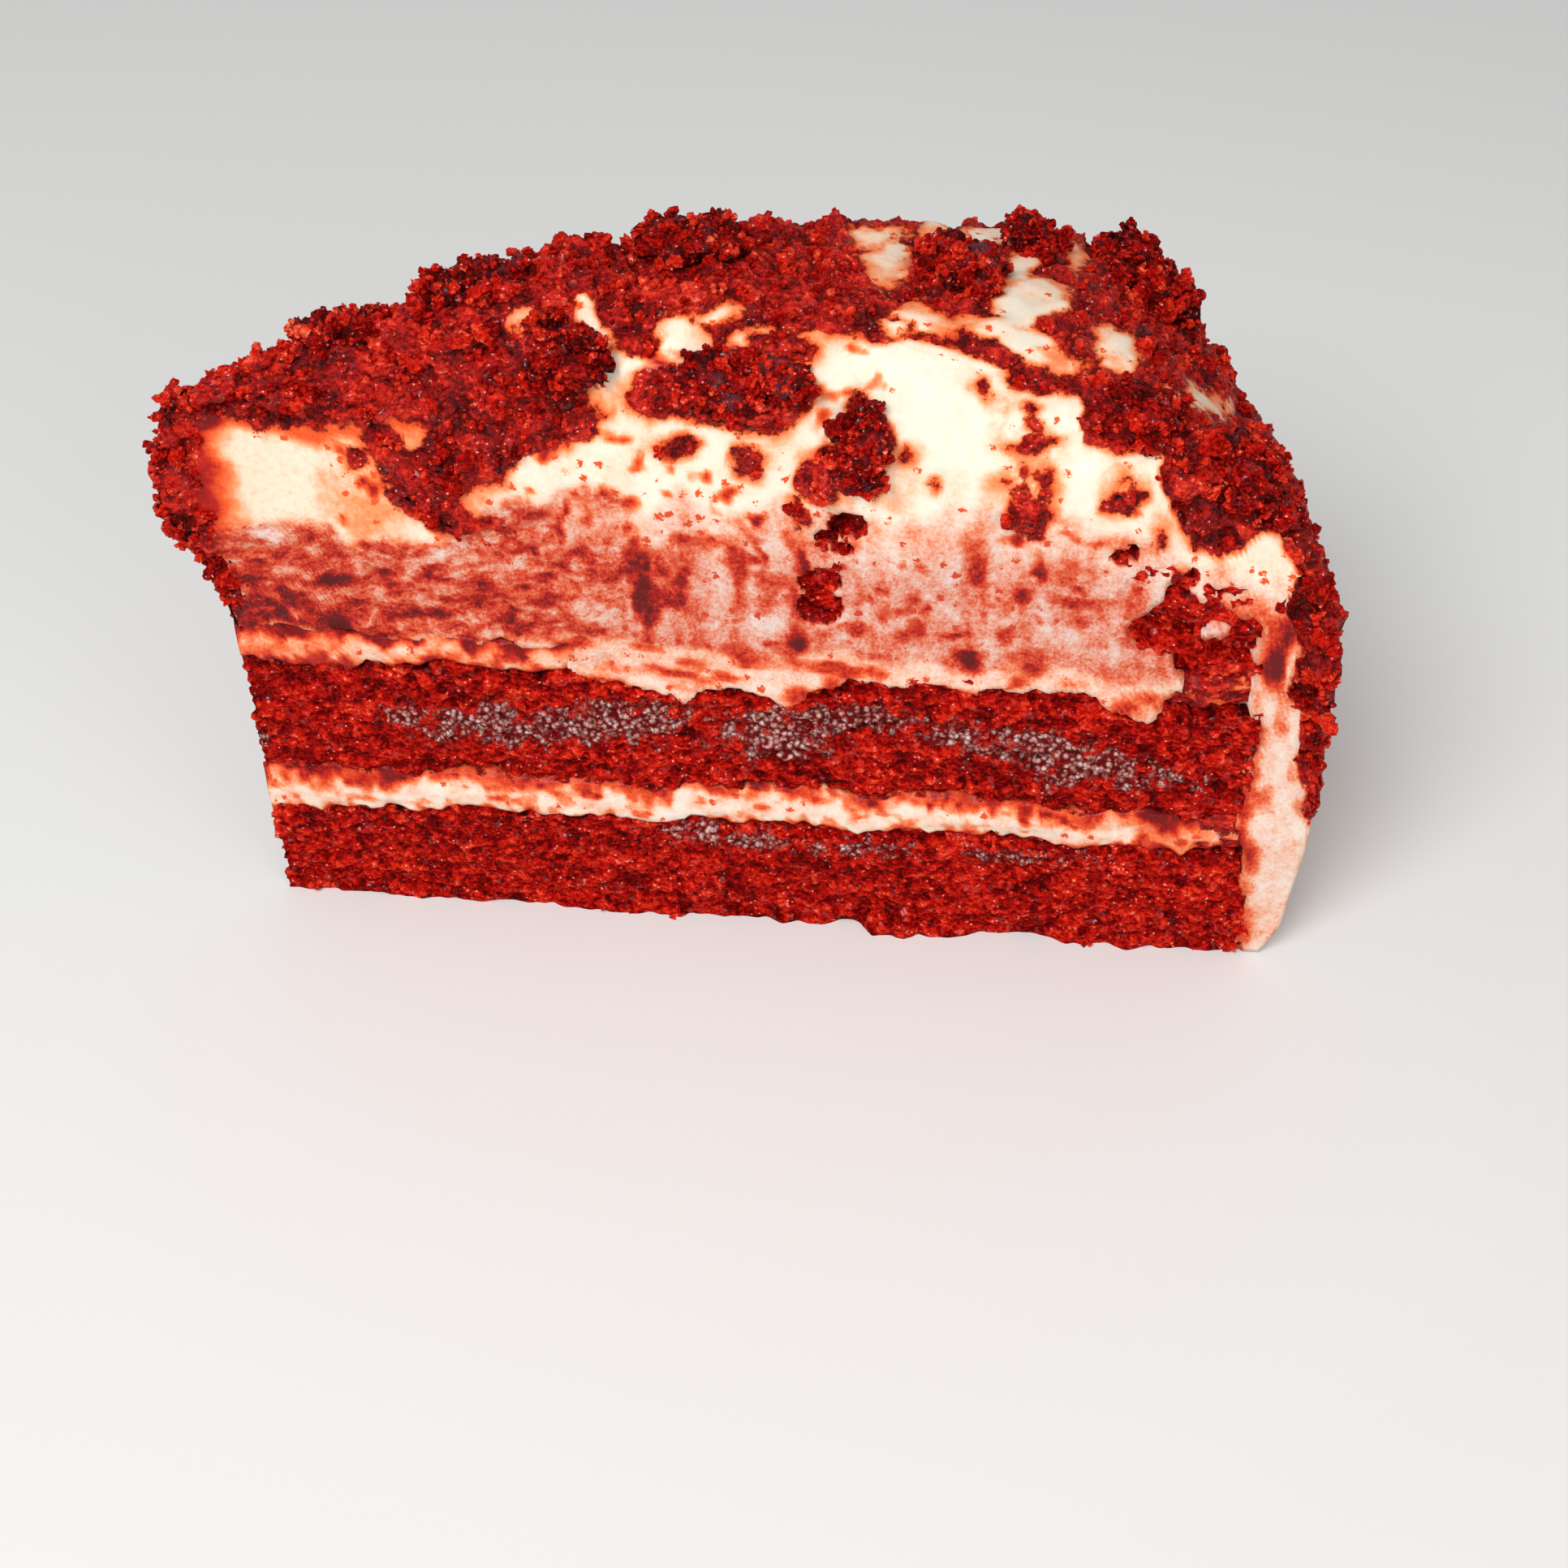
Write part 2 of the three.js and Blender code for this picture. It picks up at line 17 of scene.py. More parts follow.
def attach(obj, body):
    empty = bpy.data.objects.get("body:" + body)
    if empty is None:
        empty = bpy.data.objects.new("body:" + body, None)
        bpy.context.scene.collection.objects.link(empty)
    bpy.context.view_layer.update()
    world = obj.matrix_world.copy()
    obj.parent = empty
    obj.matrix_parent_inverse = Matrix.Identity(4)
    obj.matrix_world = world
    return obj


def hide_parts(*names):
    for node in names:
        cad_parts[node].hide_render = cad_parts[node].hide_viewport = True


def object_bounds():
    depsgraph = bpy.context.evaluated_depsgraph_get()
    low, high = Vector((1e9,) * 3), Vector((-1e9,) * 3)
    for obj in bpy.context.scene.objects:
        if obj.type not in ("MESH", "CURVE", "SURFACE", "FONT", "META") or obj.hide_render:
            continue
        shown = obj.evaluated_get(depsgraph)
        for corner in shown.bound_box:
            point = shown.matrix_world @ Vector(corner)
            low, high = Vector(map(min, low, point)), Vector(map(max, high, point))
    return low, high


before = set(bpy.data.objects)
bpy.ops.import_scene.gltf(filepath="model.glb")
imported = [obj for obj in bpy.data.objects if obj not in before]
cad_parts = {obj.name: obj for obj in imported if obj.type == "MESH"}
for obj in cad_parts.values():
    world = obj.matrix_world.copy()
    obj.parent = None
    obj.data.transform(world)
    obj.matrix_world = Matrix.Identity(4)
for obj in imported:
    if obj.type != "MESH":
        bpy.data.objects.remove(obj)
cad_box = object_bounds()
MM = 0.001
print("CAD box:", [[round(v, 4) for v in corner] for corner in cad_box])

# %% Sizes shared with the solids, in millimetres
CUT_ANGLE = math.radians(26)
TIP_RADIUS = 1.1
SPONGE_RADIUS = 114.7
FOOT_FLARE = 2.6
FOOT_HEIGHT = 20
# Each layer's top: its height, how much lower it is at the tip, and how far that dip reaches.
LAYERS = {
    "lower_sponge": (15.3, 3.0, 18),
    "lower_cream": (20.7, 2.0, 25),
    "middle_sponge": (35.3, 0.6, 20),
    "upper_cream": (39.9, 0.0, 20),
    "upper_sponge": (56.0, 3.2, 18),
}
UPPER_RIM_DIP = 4.5
RIM_FALL = (92, 116)
CREST_HEIGHT = 79.9
CREST_RADIUS = 43
TIP_DROP = 11.6
TIP_ROUNDING = 3
RIM_DROP = 9.5
RIM_SPAN = 60
OUTER_RADIUS = 119.5
SIDE_BELLY = 2.3
BELLY_HEIGHT = 60
FOOT_TUCK = 1.4
TUCK_HEIGHT = 5
NOSE_REACH = 4.6
NOSE_HEIGHT = 60
NOSE_FOOT = 48
NOSE_SPREAD = 8.5
NOSE_UNDERCUT = 10
NOSE_WIDTH = 5
NOSE_LENGTH = 7
# The rounding of the top's three edges, as (width, drop), and the least drop at the tip.
FRONT_SHOULDER = (13, 16)
BACK_SHOULDER = (5, 6)
OUTER_SHOULDER = (22, 20)
LEAST_DROP = 3.5
SLUMP = 2.5

# The lower sponge's furthest corner along the front face is at s = 117.3, d = 0.
lower_sponge_points = np.array([v.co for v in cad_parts["sponge_lower"].data.vertices])
corner = lower_sponge_points[lower_sponge_points[:, 0].argmax()]
ORIGIN = np.array([SPONGE_RADIUS + FOOT_FLARE - corner[0] / MM, -corner[1] / MM, 0.0])
print("slice coordinates of the model's origin:", ORIGIN.round(2))


# %% [markdown]
# ## Small tools
# A cake has no straight lines, so nearly every shape below leans on a few uneven fields. They are
# made here with numpy, because it works on whole arrays of points at once. `noise` is smooth and
# runs from -1 to 1. `ease` rises smoothly from 0 to 1, and `band` rises and falls again. `line`
# reads a height from a short line given by points. `oval` says how far a point is inside an oval.

# %% Noise and easing
NOISE_SHIFT = 1000.0
NOISE_FADE = 0.55
NOISE_GAIN = 1.5
FAR_OUTSIDE = -20.0


def mix(a, b, share):
    return a + (b - a) * share


def unit(value):
    return np.clip(value, 0, 1)


def ease(low, high, value):
    share = unit((value - low) / (high - low))
    return share * share * (3 - 2 * share)


def band(start, full, wane, end, value):
    """Rises from 0 to 1 between start and full, and falls again between wane and end."""
    return ease(start, full, value) * ease(end, wane, value)


def hill(middle, width, value):
    """A bell curve: 1 at its middle, and almost 0 at twice its width from there."""
    return np.exp(-(((value - middle) / width) ** 2))


def lattice(x, y, z, seed):
    """A repeatable random number from 0 to 1 for each whole-numbered place."""
    h = x.astype(np.uint64) * np.uint64(374761393) + y.astype(np.uint64) * np.uint64(668265263)
    h = h + z.astype(np.uint64) * np.uint64(2246822519) + np.uint64(seed * 3266489917)
    h = h & np.uint64(0xFFFFFFFF)
    h = ((h ^ (h >> np.uint64(15))) * np.uint64(2246822519)) & np.uint64(0xFFFFFFFF)
    h = ((h ^ (h >> np.uint64(13))) * np.uint64(3266489917)) & np.uint64(0xFFFFFFFF)
    return ((h ^ (h >> np.uint64(16))) & np.uint64(0xFFFFFF)).astype(float) / 0xFFFFFF


def noise(points, size, seed=0, octaves=1):
    """Smooth noise from about -1 to 1 with bumps `size` across, which may differ by axis.

    The shift keeps every place above zero, and each further octave weighs less by the fade.
    """
    total = np.zeros(len(points))
    weight = 1.0
    span = 0.0
    for octave in range(octaves):
        p = points / (np.array(size) / 2**octave) + NOISE_SHIFT
        base = np.floor(p)
        t = p - base
        t = t * t * (3 - 2 * t)
        base = base.astype(np.int64)
        value = np.zeros(len(p))
        for place in range(8):
            dx, dy, dz = place & 1, (place >> 1) & 1, place >> 2
            share = t[:, 0] if dx else 1 - t[:, 0]
            share = share * (t[:, 1] if dy else 1 - t[:, 1]) * (t[:, 2] if dz else 1 - t[:, 2])
            value += share * lattice(base[:, 0] + dx, base[:, 1] + dy, base[:, 2] + dz, seed + octave)
        total += weight * (2 * value - 1)
        span += weight
        weight *= NOISE_FADE
    return total / span * NOISE_GAIN


def line(points, s):
    """The height at s of a line, given as (s, height) pairs."""
    return np.interp(s, [p[0] for p in points], [p[1] for p in points])


def oval(u, v, centre_u, centre_v, reach_u, reach_v, tilt=0):
    """How far (u, v) is inside an oval, in millimetres: negative outside it."""
    c, k = math.cos(math.radians(tilt)), math.sin(math.radians(tilt))
    a = ((u - centre_u) * c + (v - centre_v) * k) / reach_u
    b = (-(u - centre_u) * k + (v - centre_v) * c) / reach_v
    return (1 - np.sqrt(a * a + b * b)) * min(reach_u, reach_v)


def ovals(u, v, places):
    """How far (u, v) is inside the nearest of several ovals."""
    inside = np.full(len(u), FAR_OUTSIDE)
    for place in places:
        inside = np.maximum(inside, oval(u, v, *place))
    return inside


# %% The slice's form, as in the solids
def layer_top(name, x, y):
    r = np.hypot(x, y)
    top, dip, reach = LAYERS[name]
    rim = UPPER_RIM_DIP * ease(*RIM_FALL, r) if name == "upper_sponge" else 0
    ripple = 0.45 * np.sin(0.23 * x + 0.1 * y + 1) + 0.3 * np.sin(0.51 * x - 0.4 * y)
    return top - dip * np.exp(-r / reach) - rim + ripple


def sponge_radius(z):
    return SPONGE_RADIUS + FOOT_FLARE * (1 - ease(0, FOOT_HEIGHT, z))


def side_radius(z):
    belly = SIDE_BELLY * np.sqrt(np.sin(math.pi * unit(z / BELLY_HEIGHT)).clip(0))
    return OUTER_RADIUS + belly - FOOT_TUCK * unit(1 - z / TUCK_HEIGHT)


def dome(r):
    inner = TIP_DROP * ((CREST_RADIUS - r) / CREST_RADIUS) ** 2
    outer = RIM_DROP * ((r - CREST_RADIUS) / RIM_SPAN) ** 2
    return CREST_HEIGHT - np.where(r < CREST_RADIUS, inner, outer)


def shoulder_drop(distance, width, drop):
    share = unit(1 - distance / width)
    return drop * (1 - np.sqrt(1 - share * share))


def shoulders_at(x, y):
    """Width and drop of the front and the back rounding of the top's edges."""
    thickness = np.maximum(0.5, np.hypot(x, y) * CUT_ANGLE)
    growth = ease(-4, 34, x)
    front_width = np.minimum(FRONT_SHOULDER[0], 0.45 * thickness)
    front_drop = np.maximum(LEAST_DROP, FRONT_SHOULDER[1] * growth) * (1 - 0.7 * ease(80, 108, x))
    back_width = np.minimum(BACK_SHOULDER[0], 0.25 * thickness)
    return front_width, front_drop, back_width, mix(LEAST_DROP, BACK_SHOULDER[1], growth)


def from_back(x, y):
    """Distance in front of the back cut face."""
    return x * math.sin(CUT_ANGLE) - y * math.cos(CUT_ANGLE)


def top_height(x, y):
    r = np.hypot(x, y)
    front_width, front_drop, back_width, back_drop = shoulders_at(x, y)
    drops = shoulder_drop(np.maximum(0, y), front_width, front_drop)
    drops = drops + shoulder_drop(np.maximum(0, from_back(x, y)), back_width, back_drop)
    drops = drops + shoulder_drop(np.maximum(0, OUTER_RADIUS - r), *OUTER_SHOULDER)
    drops = drops + SLUMP * ease(92, 114, r) * band(3, 12, 38, 46, y)
    return dome(np.maximum(r, TIP_ROUNDING)) - drops


def polar(r, share):
    """The x and y at a distance from the tip and a share of the way round to the back cut face."""
    return r * np.cos(share * CUT_ANGLE), r * np.sin(share * CUT_ANGLE)


def along_cut(points):
    """Distance from the tip and height, as places for a noise that runs along a cut face."""
    r = np.hypot(points[:, 0], points[:, 1])
    return np.stack([r, 0 * r, points[:, 2]], -1)


def frosting_point(r, share, z):
    """A point of the frosting's surface: share is 0 at the front cut face and 1 at the back one."""
    outerness = ease(0.7, 1, r / OUTER_RADIUS)
    swell = 1 + (side_radius(np.minimum(z, BELLY_HEIGHT)) / OUTER_RADIUS - 1) * outerness
    x, y = polar(r * swell, share)
    above = hill(NOSE_HEIGHT, NOSE_SPREAD, z)
    below = np.exp(-(((z - NOSE_HEIGHT) / NOSE_UNDERCUT) ** 4))
    drag = np.where(z > NOSE_HEIGHT, above, below) * np.exp(-((r / NOSE_LENGTH) ** 2))
    return np.stack([x - NOSE_REACH * drag, y + NOSE_WIDTH * (share - 0.5) * drag, z], -1)


# %% Meshes
def make_mesh(name, points, faces):
    """A new object from points in slice millimetres."""
    mesh = bpy.data.meshes.new(name)
    mesh.from_pydata(((np.asarray(points) - ORIGIN) * MM).tolist(), [], faces)
    piece = bpy.data.objects.new(name, mesh)
    bpy.context.scene.collection.objects.link(piece)
    return piece


def vertex_vectors(piece, kind):
    flat = np.empty(len(piece.data.vertices) * 3)
    piece.data.vertices.foreach_get(kind, flat)
    return flat.reshape(-1, 3)


def points_of(piece):
    """A mesh's points, in slice millimetres."""
    return vertex_vectors(piece, "co") / MM + ORIGIN


def move_points(piece, points):
    """Puts a mesh's points at new places, kept inside the CAD box."""
    model = np.clip((points - ORIGIN) * MM, np.array(cad_box[0]), np.array(cad_box[1]))
    piece.data.vertices.foreach_set("co", model.ravel())
    piece.data.update()


def set_fields(piece, **fields):
    """Stores numbers for each vertex, which materials and Geometry Nodes read by name."""
    for name, values in fields.items():
        values = np.broadcast_to(np.asarray(values, np.float32), len(piece.data.vertices))
        piece.data.attributes.new(name, "FLOAT", "POINT").data.foreach_set("value", values.copy())


def field_of(piece, name):
    values = np.empty(len(piece.data.vertices), np.float32)
    piece.data.attributes[name].data.foreach_get("value", values)
    return values


def grid_faces(rows, columns):
    """Quads over a grid of rows x columns points."""
    a = np.arange(rows - 1)[:, None] * columns + np.arange(columns - 1)[None, :]
    return np.stack([a, a + 1, a + columns + 1, a + columns], -1).reshape(-1, 4).tolist()


def band_faces(upper, lower):
    """Quads between two closed rings of points, given by their numbers."""
    return np.stack([upper, lower, np.roll(lower, -1), np.roll(upper, -1)], 1).tolist()


# %% [markdown]
# ## The camera, the floor and the light
# The camera stands above and in front of the cut face, as a person does who is about to eat. Its
# place, turn and lens were worked out from a photograph. A large soft lamp stands at the upper left
# of the front, a weaker one fills in from the right, and a pale room lights the rest, so the shadows
# are soft.

# %% Camera
EYE = np.array([84.85, -193.31, 187.60])
LOOK = Vector((-0.0874, 0.7560, -0.6487))
LENS = 51.42
SENSOR_WIDTH = 36
ROLL = math.radians(-0.64)

camera_data = bpy.data.cameras.new("camera")
camera_data.lens = LENS
camera_data.sensor_width = SENSOR_WIDTH
camera = bpy.data.objects.new("camera", camera_data)
bpy.context.scene.collection.objects.link(camera)
turn = LOOK.to_track_quat("-Z", "Y").to_matrix() @ Matrix.Rotation(ROLL, 3, "Z")
camera.matrix_world = Matrix.Translation(Vector((EYE - ORIGIN) * MM)) @ turn.to_4x4()
bpy.context.scene.camera = camera
bpy.context.scene.view_settings.view_transform = "Standard"
print("camera at", [round(v, 4) for v in camera.location])

# %% Lights
KEY_PLACE = (-0.24, -0.58, 0.68)
KEY_SIZE = 0.5
KEY_POWER = 6.6
FILL_PLACE = (0.55, -0.65, 0.35)
FILL_SIZE = 0.6
FILL_POWER = 1.9
LAMP_AIM = (0, 0, 0.03)
ROOM_STRENGTH = 0.4


def area_light(name, place, size, power):
    """A round lamp, placed in metres and aimed at the slice's middle."""
    data = bpy.data.lights.new(name, "AREA")
    data.shape = "DISK"
    data.size = size
    data.energy = power
    lamp = bpy.data.objects.new(name, data)
    lamp.location = place
    lamp.rotation_euler = (Vector(LAMP_AIM) - Vector(place)).to_track_quat("-Z", "Y").to_euler()
    bpy.context.scene.collection.objects.link(lamp)


area_light("key light", KEY_PLACE, KEY_SIZE, KEY_POWER)
area_light("fill light", FILL_PLACE, FILL_SIZE, FILL_POWER)
world = bpy.data.worlds.new("pale room")
world.use_nodes = True
background = world.node_tree.nodes["Background"]
background.inputs["Color"].default_value = (1, 1, 1, 1)
background.inputs["Strength"].default_value = ROOM_STRENGTH
bpy.context.scene.world = world
print("lights:", [light.name for light in bpy.data.lights], "and", world.name)


# %% [markdown]
# ## Shorthand for nodes
# Both Geometry Nodes and materials are trees of nodes. These helpers add a node, set its options
# and join or fill its inputs in one call, which keeps each tree below short enough to read.

# %% Node helpers
def srgb(red, green, blue):
    """A colour given as it looks on screen, from 0 to 255, turned into linear light."""
    values = [v / 255 for v in (red, green, blue)]
    return tuple(v / 12.92 if v <= 0.04045 else ((v + 0.055) / 1.055) ** 2.4 for v in values) + (1.0,)


def feed(tree, socket, value):
    """Joins a socket to another one, or gives it a value."""
    if isinstance(value, bpy.types.NodeSocket):
        tree.links.new(value, socket)
    else:
        socket.default_value = value


def add(tree, kind, inputs=None, **options):
    """Adds a node. `inputs` maps a socket's name or number to a value or to another socket."""
    made = tree.nodes.new(kind)
    for option, value in options.items():
        setattr(made, option, value)
    for name, value in (inputs or {}).items():
        if isinstance(name, str):
            feed(tree, next(s for s in made.inputs if s.name == name and s.enabled), value)
        else:
            feed(tree, made.inputs[name], value)
    return made


def calc(tree, operation, a, b=0.0, c=0.0, clamp=False):
    made = add(tree, "ShaderNodeMath", {0: a, 1: b, 2: c}, operation=operation, use_clamp=clamp)
    return made.outputs[0]


def times(tree, a, b):
    return calc(tree, "MULTIPLY", a, b)


def times_plus(tree, a, b, c, clamp=False):
    """a times b, plus c."""
    return calc(tree, "MULTIPLY_ADD", a, b, c, clamp)


def centred(tree, value):
    """A value from 0 to 1 moved down to run from -0.5 to 0.5."""
    return calc(tree, "SUBTRACT", value, 0.5)


def remap(tree, value, low, high, to_low=0.0, to_high=1.0, smooth=False):
    """Stretches the range from low to high over the one from to_low to to_high."""
    kind = "SMOOTHSTEP" if smooth else "LINEAR"
    inputs = {0: value, 1: low, 2: high, 3: to_low, 4: to_high}
    return add(tree, "ShaderNodeMapRange", inputs, interpolation_type=kind).outputs[0]


def blend_colour(tree, share, a, b):
    return add(tree, "ShaderNodeMix", {0: share, 6: a, 7: b}, data_type="RGBA").outputs[2]


def ramp(tree, value, stops):
    """A colour ramp from (place, colour) stops."""
    made = add(tree, "ShaderNodeValToRGB", {0: value})
    elements = made.color_ramp.elements
    for element, (place, colour) in ((elements[0], stops[0]), (elements[1], stops[-1])):
        element.position = place
        element.color = colour
    for place, colour in stops[1:-1]:
        elements.new(place).color = colour
    return made.outputs[0]


def scaled(tree, vector, factor):
    return add(tree, "ShaderNodeVectorMath", {0: vector, 3: factor}, operation="SCALE").outputs[0]


def noise_texture(tree, vector, size, detail=2.0, rough=0.55):
    """Noise with features about `size` millimetres across, when vector is in millimetres."""
    inputs = {"Vector": vector, "Scale": 1 / size, "Detail": detail, "Roughness": rough}
    return add(tree, "ShaderNodeTexNoise", inputs).outputs[0]


def cells(tree, vector, size):
    """Distance to the nearest of many scattered points about `size` millimetres apart."""
    return add(tree, "ShaderNodeTexVoronoi", {"Vector": vector, "Scale": 1 / size}).outputs[0]


def cell_shade(tree, vector, size):
    """A random number from 0 to 1 for each of the cells that `cells` makes."""
    made = add(tree, "ShaderNodeTexVoronoi", {"Vector": vector, "Scale": 1 / size})
    return add(tree, "ShaderNodeSeparateColor", {0: made.outputs[1]}).outputs[0]


def along_rows(tree, vector, rows):
    """A vector's products with three given rows, which stretches and leans whatever reads it."""
    dots = []
    for row in rows:
        made = add(tree, "ShaderNodeVectorMath", {0: vector, 1: row}, operation="DOT_PRODUCT")
        dots.append(made.outputs[1])
    return add(tree, "ShaderNodeCombineXYZ", dict(enumerate(dots))).outputs[0]


def new_group(name, kind, inputs, output):
    """A node group, with what its input node gives and what its output node takes.

    `inputs` gives each input's type and starting value by name, `output` a name and a type.
    """
    group = bpy.data.node_groups.new(name, kind)
    for socket, (socket_type, value) in inputs.items():
        socket_type = "NodeSocket" + socket_type
        made = group.interface.new_socket(name=socket, in_out="INPUT", socket_type=socket_type)
        if value is not None:
            made.default_value = value
    group.interface.new_socket(name=output[0], in_out="OUTPUT", socket_type="NodeSocket" + output[1])
    return group, group.nodes.new("NodeGroupInput").outputs, group.nodes.new("NodeGroupOutput").inputs


def use_group(tree, group, inputs, output):
    made = tree.nodes.new("ShaderNodeGroup")
    made.node_tree = group
    for socket, value in inputs.items():
        feed(tree, made.inputs[socket], value)
    return made.outputs[output]


def in_millimetres(tree):
    """Object coordinates, in millimetres."""
    return scaled(tree, add(tree, "ShaderNodeTexCoord").outputs["Object"], 1 / MM)


def attribute(tree, name):
    return add(tree, "ShaderNodeAttribute", attribute_name=name).outputs["Fac"]


def dress_shader(tree, shader, **inputs):
    """Joins or sets a shader's inputs, given by their names with _ for each space."""
    for socket, value in inputs.items():
        feed(tree, shader.inputs[socket.replace("_", " ")], value)


def new_material(name, **settings):
    """A material with a Principled shader. Values that are the same all over are set on its sockets."""
    material = bpy.data.materials.new(name)
    material.use_nodes = True
    shader = material.node_tree.nodes["Principled BSDF"]
    dress_shader(material.node_tree, shader, **settings)
    return material, material.node_tree, shader


def bump(tree, height, distance):
    """A bumped normal from a height, with the depth of the bumps in millimetres."""
    inputs = {"Height": height, "Distance": distance * MM, "Strength": 1.0}
    return add(tree, "ShaderNodeBump", inputs).outputs[0]


# %% [markdown]
# ## Crumb colours
# Red velvet crumb is blood red, and its tone differs at random from grain to grain. The colours also
# hold painted light: the pits are painted dark, almost black, as painted shade, and the lumps' tops
# lighter and orange, as painted light coming through thin edges. One group turns a tone from 0 to 1
# into that range and adds painted glints, so the cut sponge, the crust and the loose crumbs all share
# it. Another adds the fine grain that is too small to model.

# %% Shared colour groups
# From almost black to orange: the crumb's own tones, and also painted shade in pits at the dark end and
# painted light on lumps' tops at the orange end.
CRUMB_COLOURS = [
    (0.0, srgb(66, 0, 0)),
    (0.25, srgb(132, 2, 1)),
    (0.5, srgb(196, 22, 9)),
    (0.74, srgb(230, 60, 32)),
    (1.0, srgb(250, 140, 104)),
]
CREAM_COLOURS = [
    (0.0, srgb(237, 227, 208)),
    (0.18, srgb(240, 210, 184)),
    (0.4, srgb(240, 150, 98)),
    (0.6, srgb(232, 88, 34)),
    (0.84, srgb(178, 20, 9)),
    (1.0, srgb(118, 4, 3)),
]
SMEAR_COLOURS = [
    (0.0, srgb(218, 196, 188)),
    (0.25, srgb(216, 158, 138)),
    (0.5, srgb(208, 93, 60)),
    (0.7, srgb(186, 38, 16)),
    (0.86, srgb(144, 12, 7)),
    (1.0, srgb(90, 10, 12)),
]

BEAD_SIZE = 0.66
DOT_SIZE = 1.5
FLECK_SIZE = 0.5

crumb_inputs = {"Tone": ("Float", 0.5), "Variety": ("Float", 0.3)}
crumb_group, g_in, g_out = new_group("crumb colour", "ShaderNodeTree", crumb_inputs, ("Color", "Color"))
tree = crumb_group
place = along_rows(tree, in_millimetres(tree), [(1, 0, 0), (0, 1, 0), (0, 0, 1.5)])
wide = centred(tree, noise_texture(tree, place, 5.0))
fine = centred(tree, noise_texture(tree, place, 0.6, 4, 0.7))
fleck = centred(tree, cell_shade(tree, place, FLECK_SIZE))
sway = times_plus(tree, fleck, 0.45, times_plus(tree, fine, 1.8, wide))
tone = times_plus(tree, sway, g_in["Variety"], g_in["Tone"], clamp=True)
# Painted glints: pale specks on a few cells, painted highlights standing in for wet crumbs catching the
# lamp.
painted_glint = remap(tree, cells(tree, place, FLECK_SIZE), 0.3, 0.16, 0, 1, True)
painted_glint = times(tree, painted_glint, remap(tree, cell_shade(tree, place, FLECK_SIZE), 0.9, 0.93, 0, 0.75))
colour = blend_colour(tree, painted_glint, ramp(tree, tone, CRUMB_COLOURS), srgb(246, 196, 184))
feed(tree, g_out["Color"], colour)

grain_inputs = {"Size": ("Float", 0.6)}
grain_group, g_in, g_out = new_group("crumb grain", "ShaderNodeTree", grain_inputs, ("Height", "Float"))
tree = grain_group
place = scaled(tree, in_millimetres(tree), calc(tree, "DIVIDE", 1.0, g_in["Size"]))
bumps = calc(tree, "SUBTRACT", 1.0, cells(tree, place, 1.0))
dust = noise_texture(tree, place, 0.4, 3, 0.7)
feed(tree, g_out["Height"], times_plus(tree, dust, 0.6, bumps))


def red_crumb(tree, tone, variety):
    return use_group(tree, crumb_group, {"Tone": tone, "Variety": variety}, "Color")


def grain_height(tree, size=0.5):
    return use_group(tree, grain_group, {"Size": size}, "Height")


def glossy(tree, dry, wet=0.66):
    """Gloss in small wet spots: none where a noise is below `dry`, most above `wet`."""
    dampness = noise_texture(tree, in_millimetres(tree), 0.8, 3, 0.6)
    return remap(tree, dampness, dry, wet, 0.0, 0.9, True)


# %% The sponge's material
sponge_material, tree, shader = new_material(
    "velvet sponge", Specular_IOR_Level=0.05, Coat_Roughness=0.2,
    Subsurface_Weight=0.06, Subsurface_Scale=0.0008, Subsurface_Radius=(1.0, 0.2, 0.1),
)
place = in_millimetres(tree)
# The relief's height is turned into tone: painted shade in the pits and painted light on the lumps' tops.
red = red_crumb(tree, remap(tree, attribute(tree, "pit"), -1.0, 1.0, 0.2, 0.8), 0.75)
# Frost beads: pale in the middle, darker at their rims and dark red between them, partly the sponge
# showing through and partly painted shade.
bead = remap(tree, cells(tree, place, BEAD_SIZE), 0.66, 0.2, 0, 1, True)
pale = blend_colour(tree, cell_shade(tree, place, BEAD_SIZE), srgb(190, 108, 100), srgb(240, 206, 198))
shaded_beads = blend_colour(tree, bead, srgb(96, 10, 10), pale)
ragged = centred(tree, noise_texture(tree, place, 2.4, 5, 0.8))
icy = remap(tree, times_plus(tree, ragged, 4.2, attribute(tree, "frost")), 0.6, 0.9, 0, 0.92, True)
wet = noise_texture(tree, place, 1.1, 2, 0.6)
dress_shader(
    tree, shader,
    Base_Color=blend_colour(tree, icy, red, shaded_beads),
    Coat_Weight=remap(tree, wet, 0.6, 0.68, 0.0, 0.7, True),
    Roughness=remap(tree, wet, 0.35, 0.7, 0.62, 0.4),
    Normal=bump(tree, times_plus(tree, bead, icy, grain_height(tree)), 0.3),
)

# %% The loose crumbs' material
crumb_material, tree, shader = new_material(
    "velvet crumbs", Roughness=0.5, Specular_IOR_Level=0.06, Coat_Roughness=0.15
)
tone = times_plus(tree, attribute(tree, "shade"), 0.42, 0.24)
dress_shader(
    tree, shader,
    Base_Color=red_crumb(tree, tone, 0.6),
    Coat_Weight=glossy(tree, 0.6),
    Normal=bump(tree, grain_height(tree, 0.35), 0.2),
)

# %% The clumps' material
clump_material, tree, shader = new_material(
    "damp clump", Roughness=0.45, Specular_IOR_Level=0.1, Coat_Roughness=0.2
)
# The relief's height is turned into tone: painted shade in the pits and painted light on the tops.
red = red_crumb(tree, remap(tree, attribute(tree, "pit"), -1.0, 1.0, 0.05, 0.6), 0.7)
plum = remap(tree, noise_texture(tree, in_millimetres(tree), 4.0), 0.52, 0.66, 0.0, 0.75, True)
plum = times(tree, plum, attribute(tree, "plum"))
dress_shader(
    tree, shader,
    Base_Color=blend_colour(tree, plum, red, srgb(96, 52, 62)),
    Coat_Weight=glossy(tree, 0.58),
    Normal=bump(tree, grain_height(tree), 0.35),
)


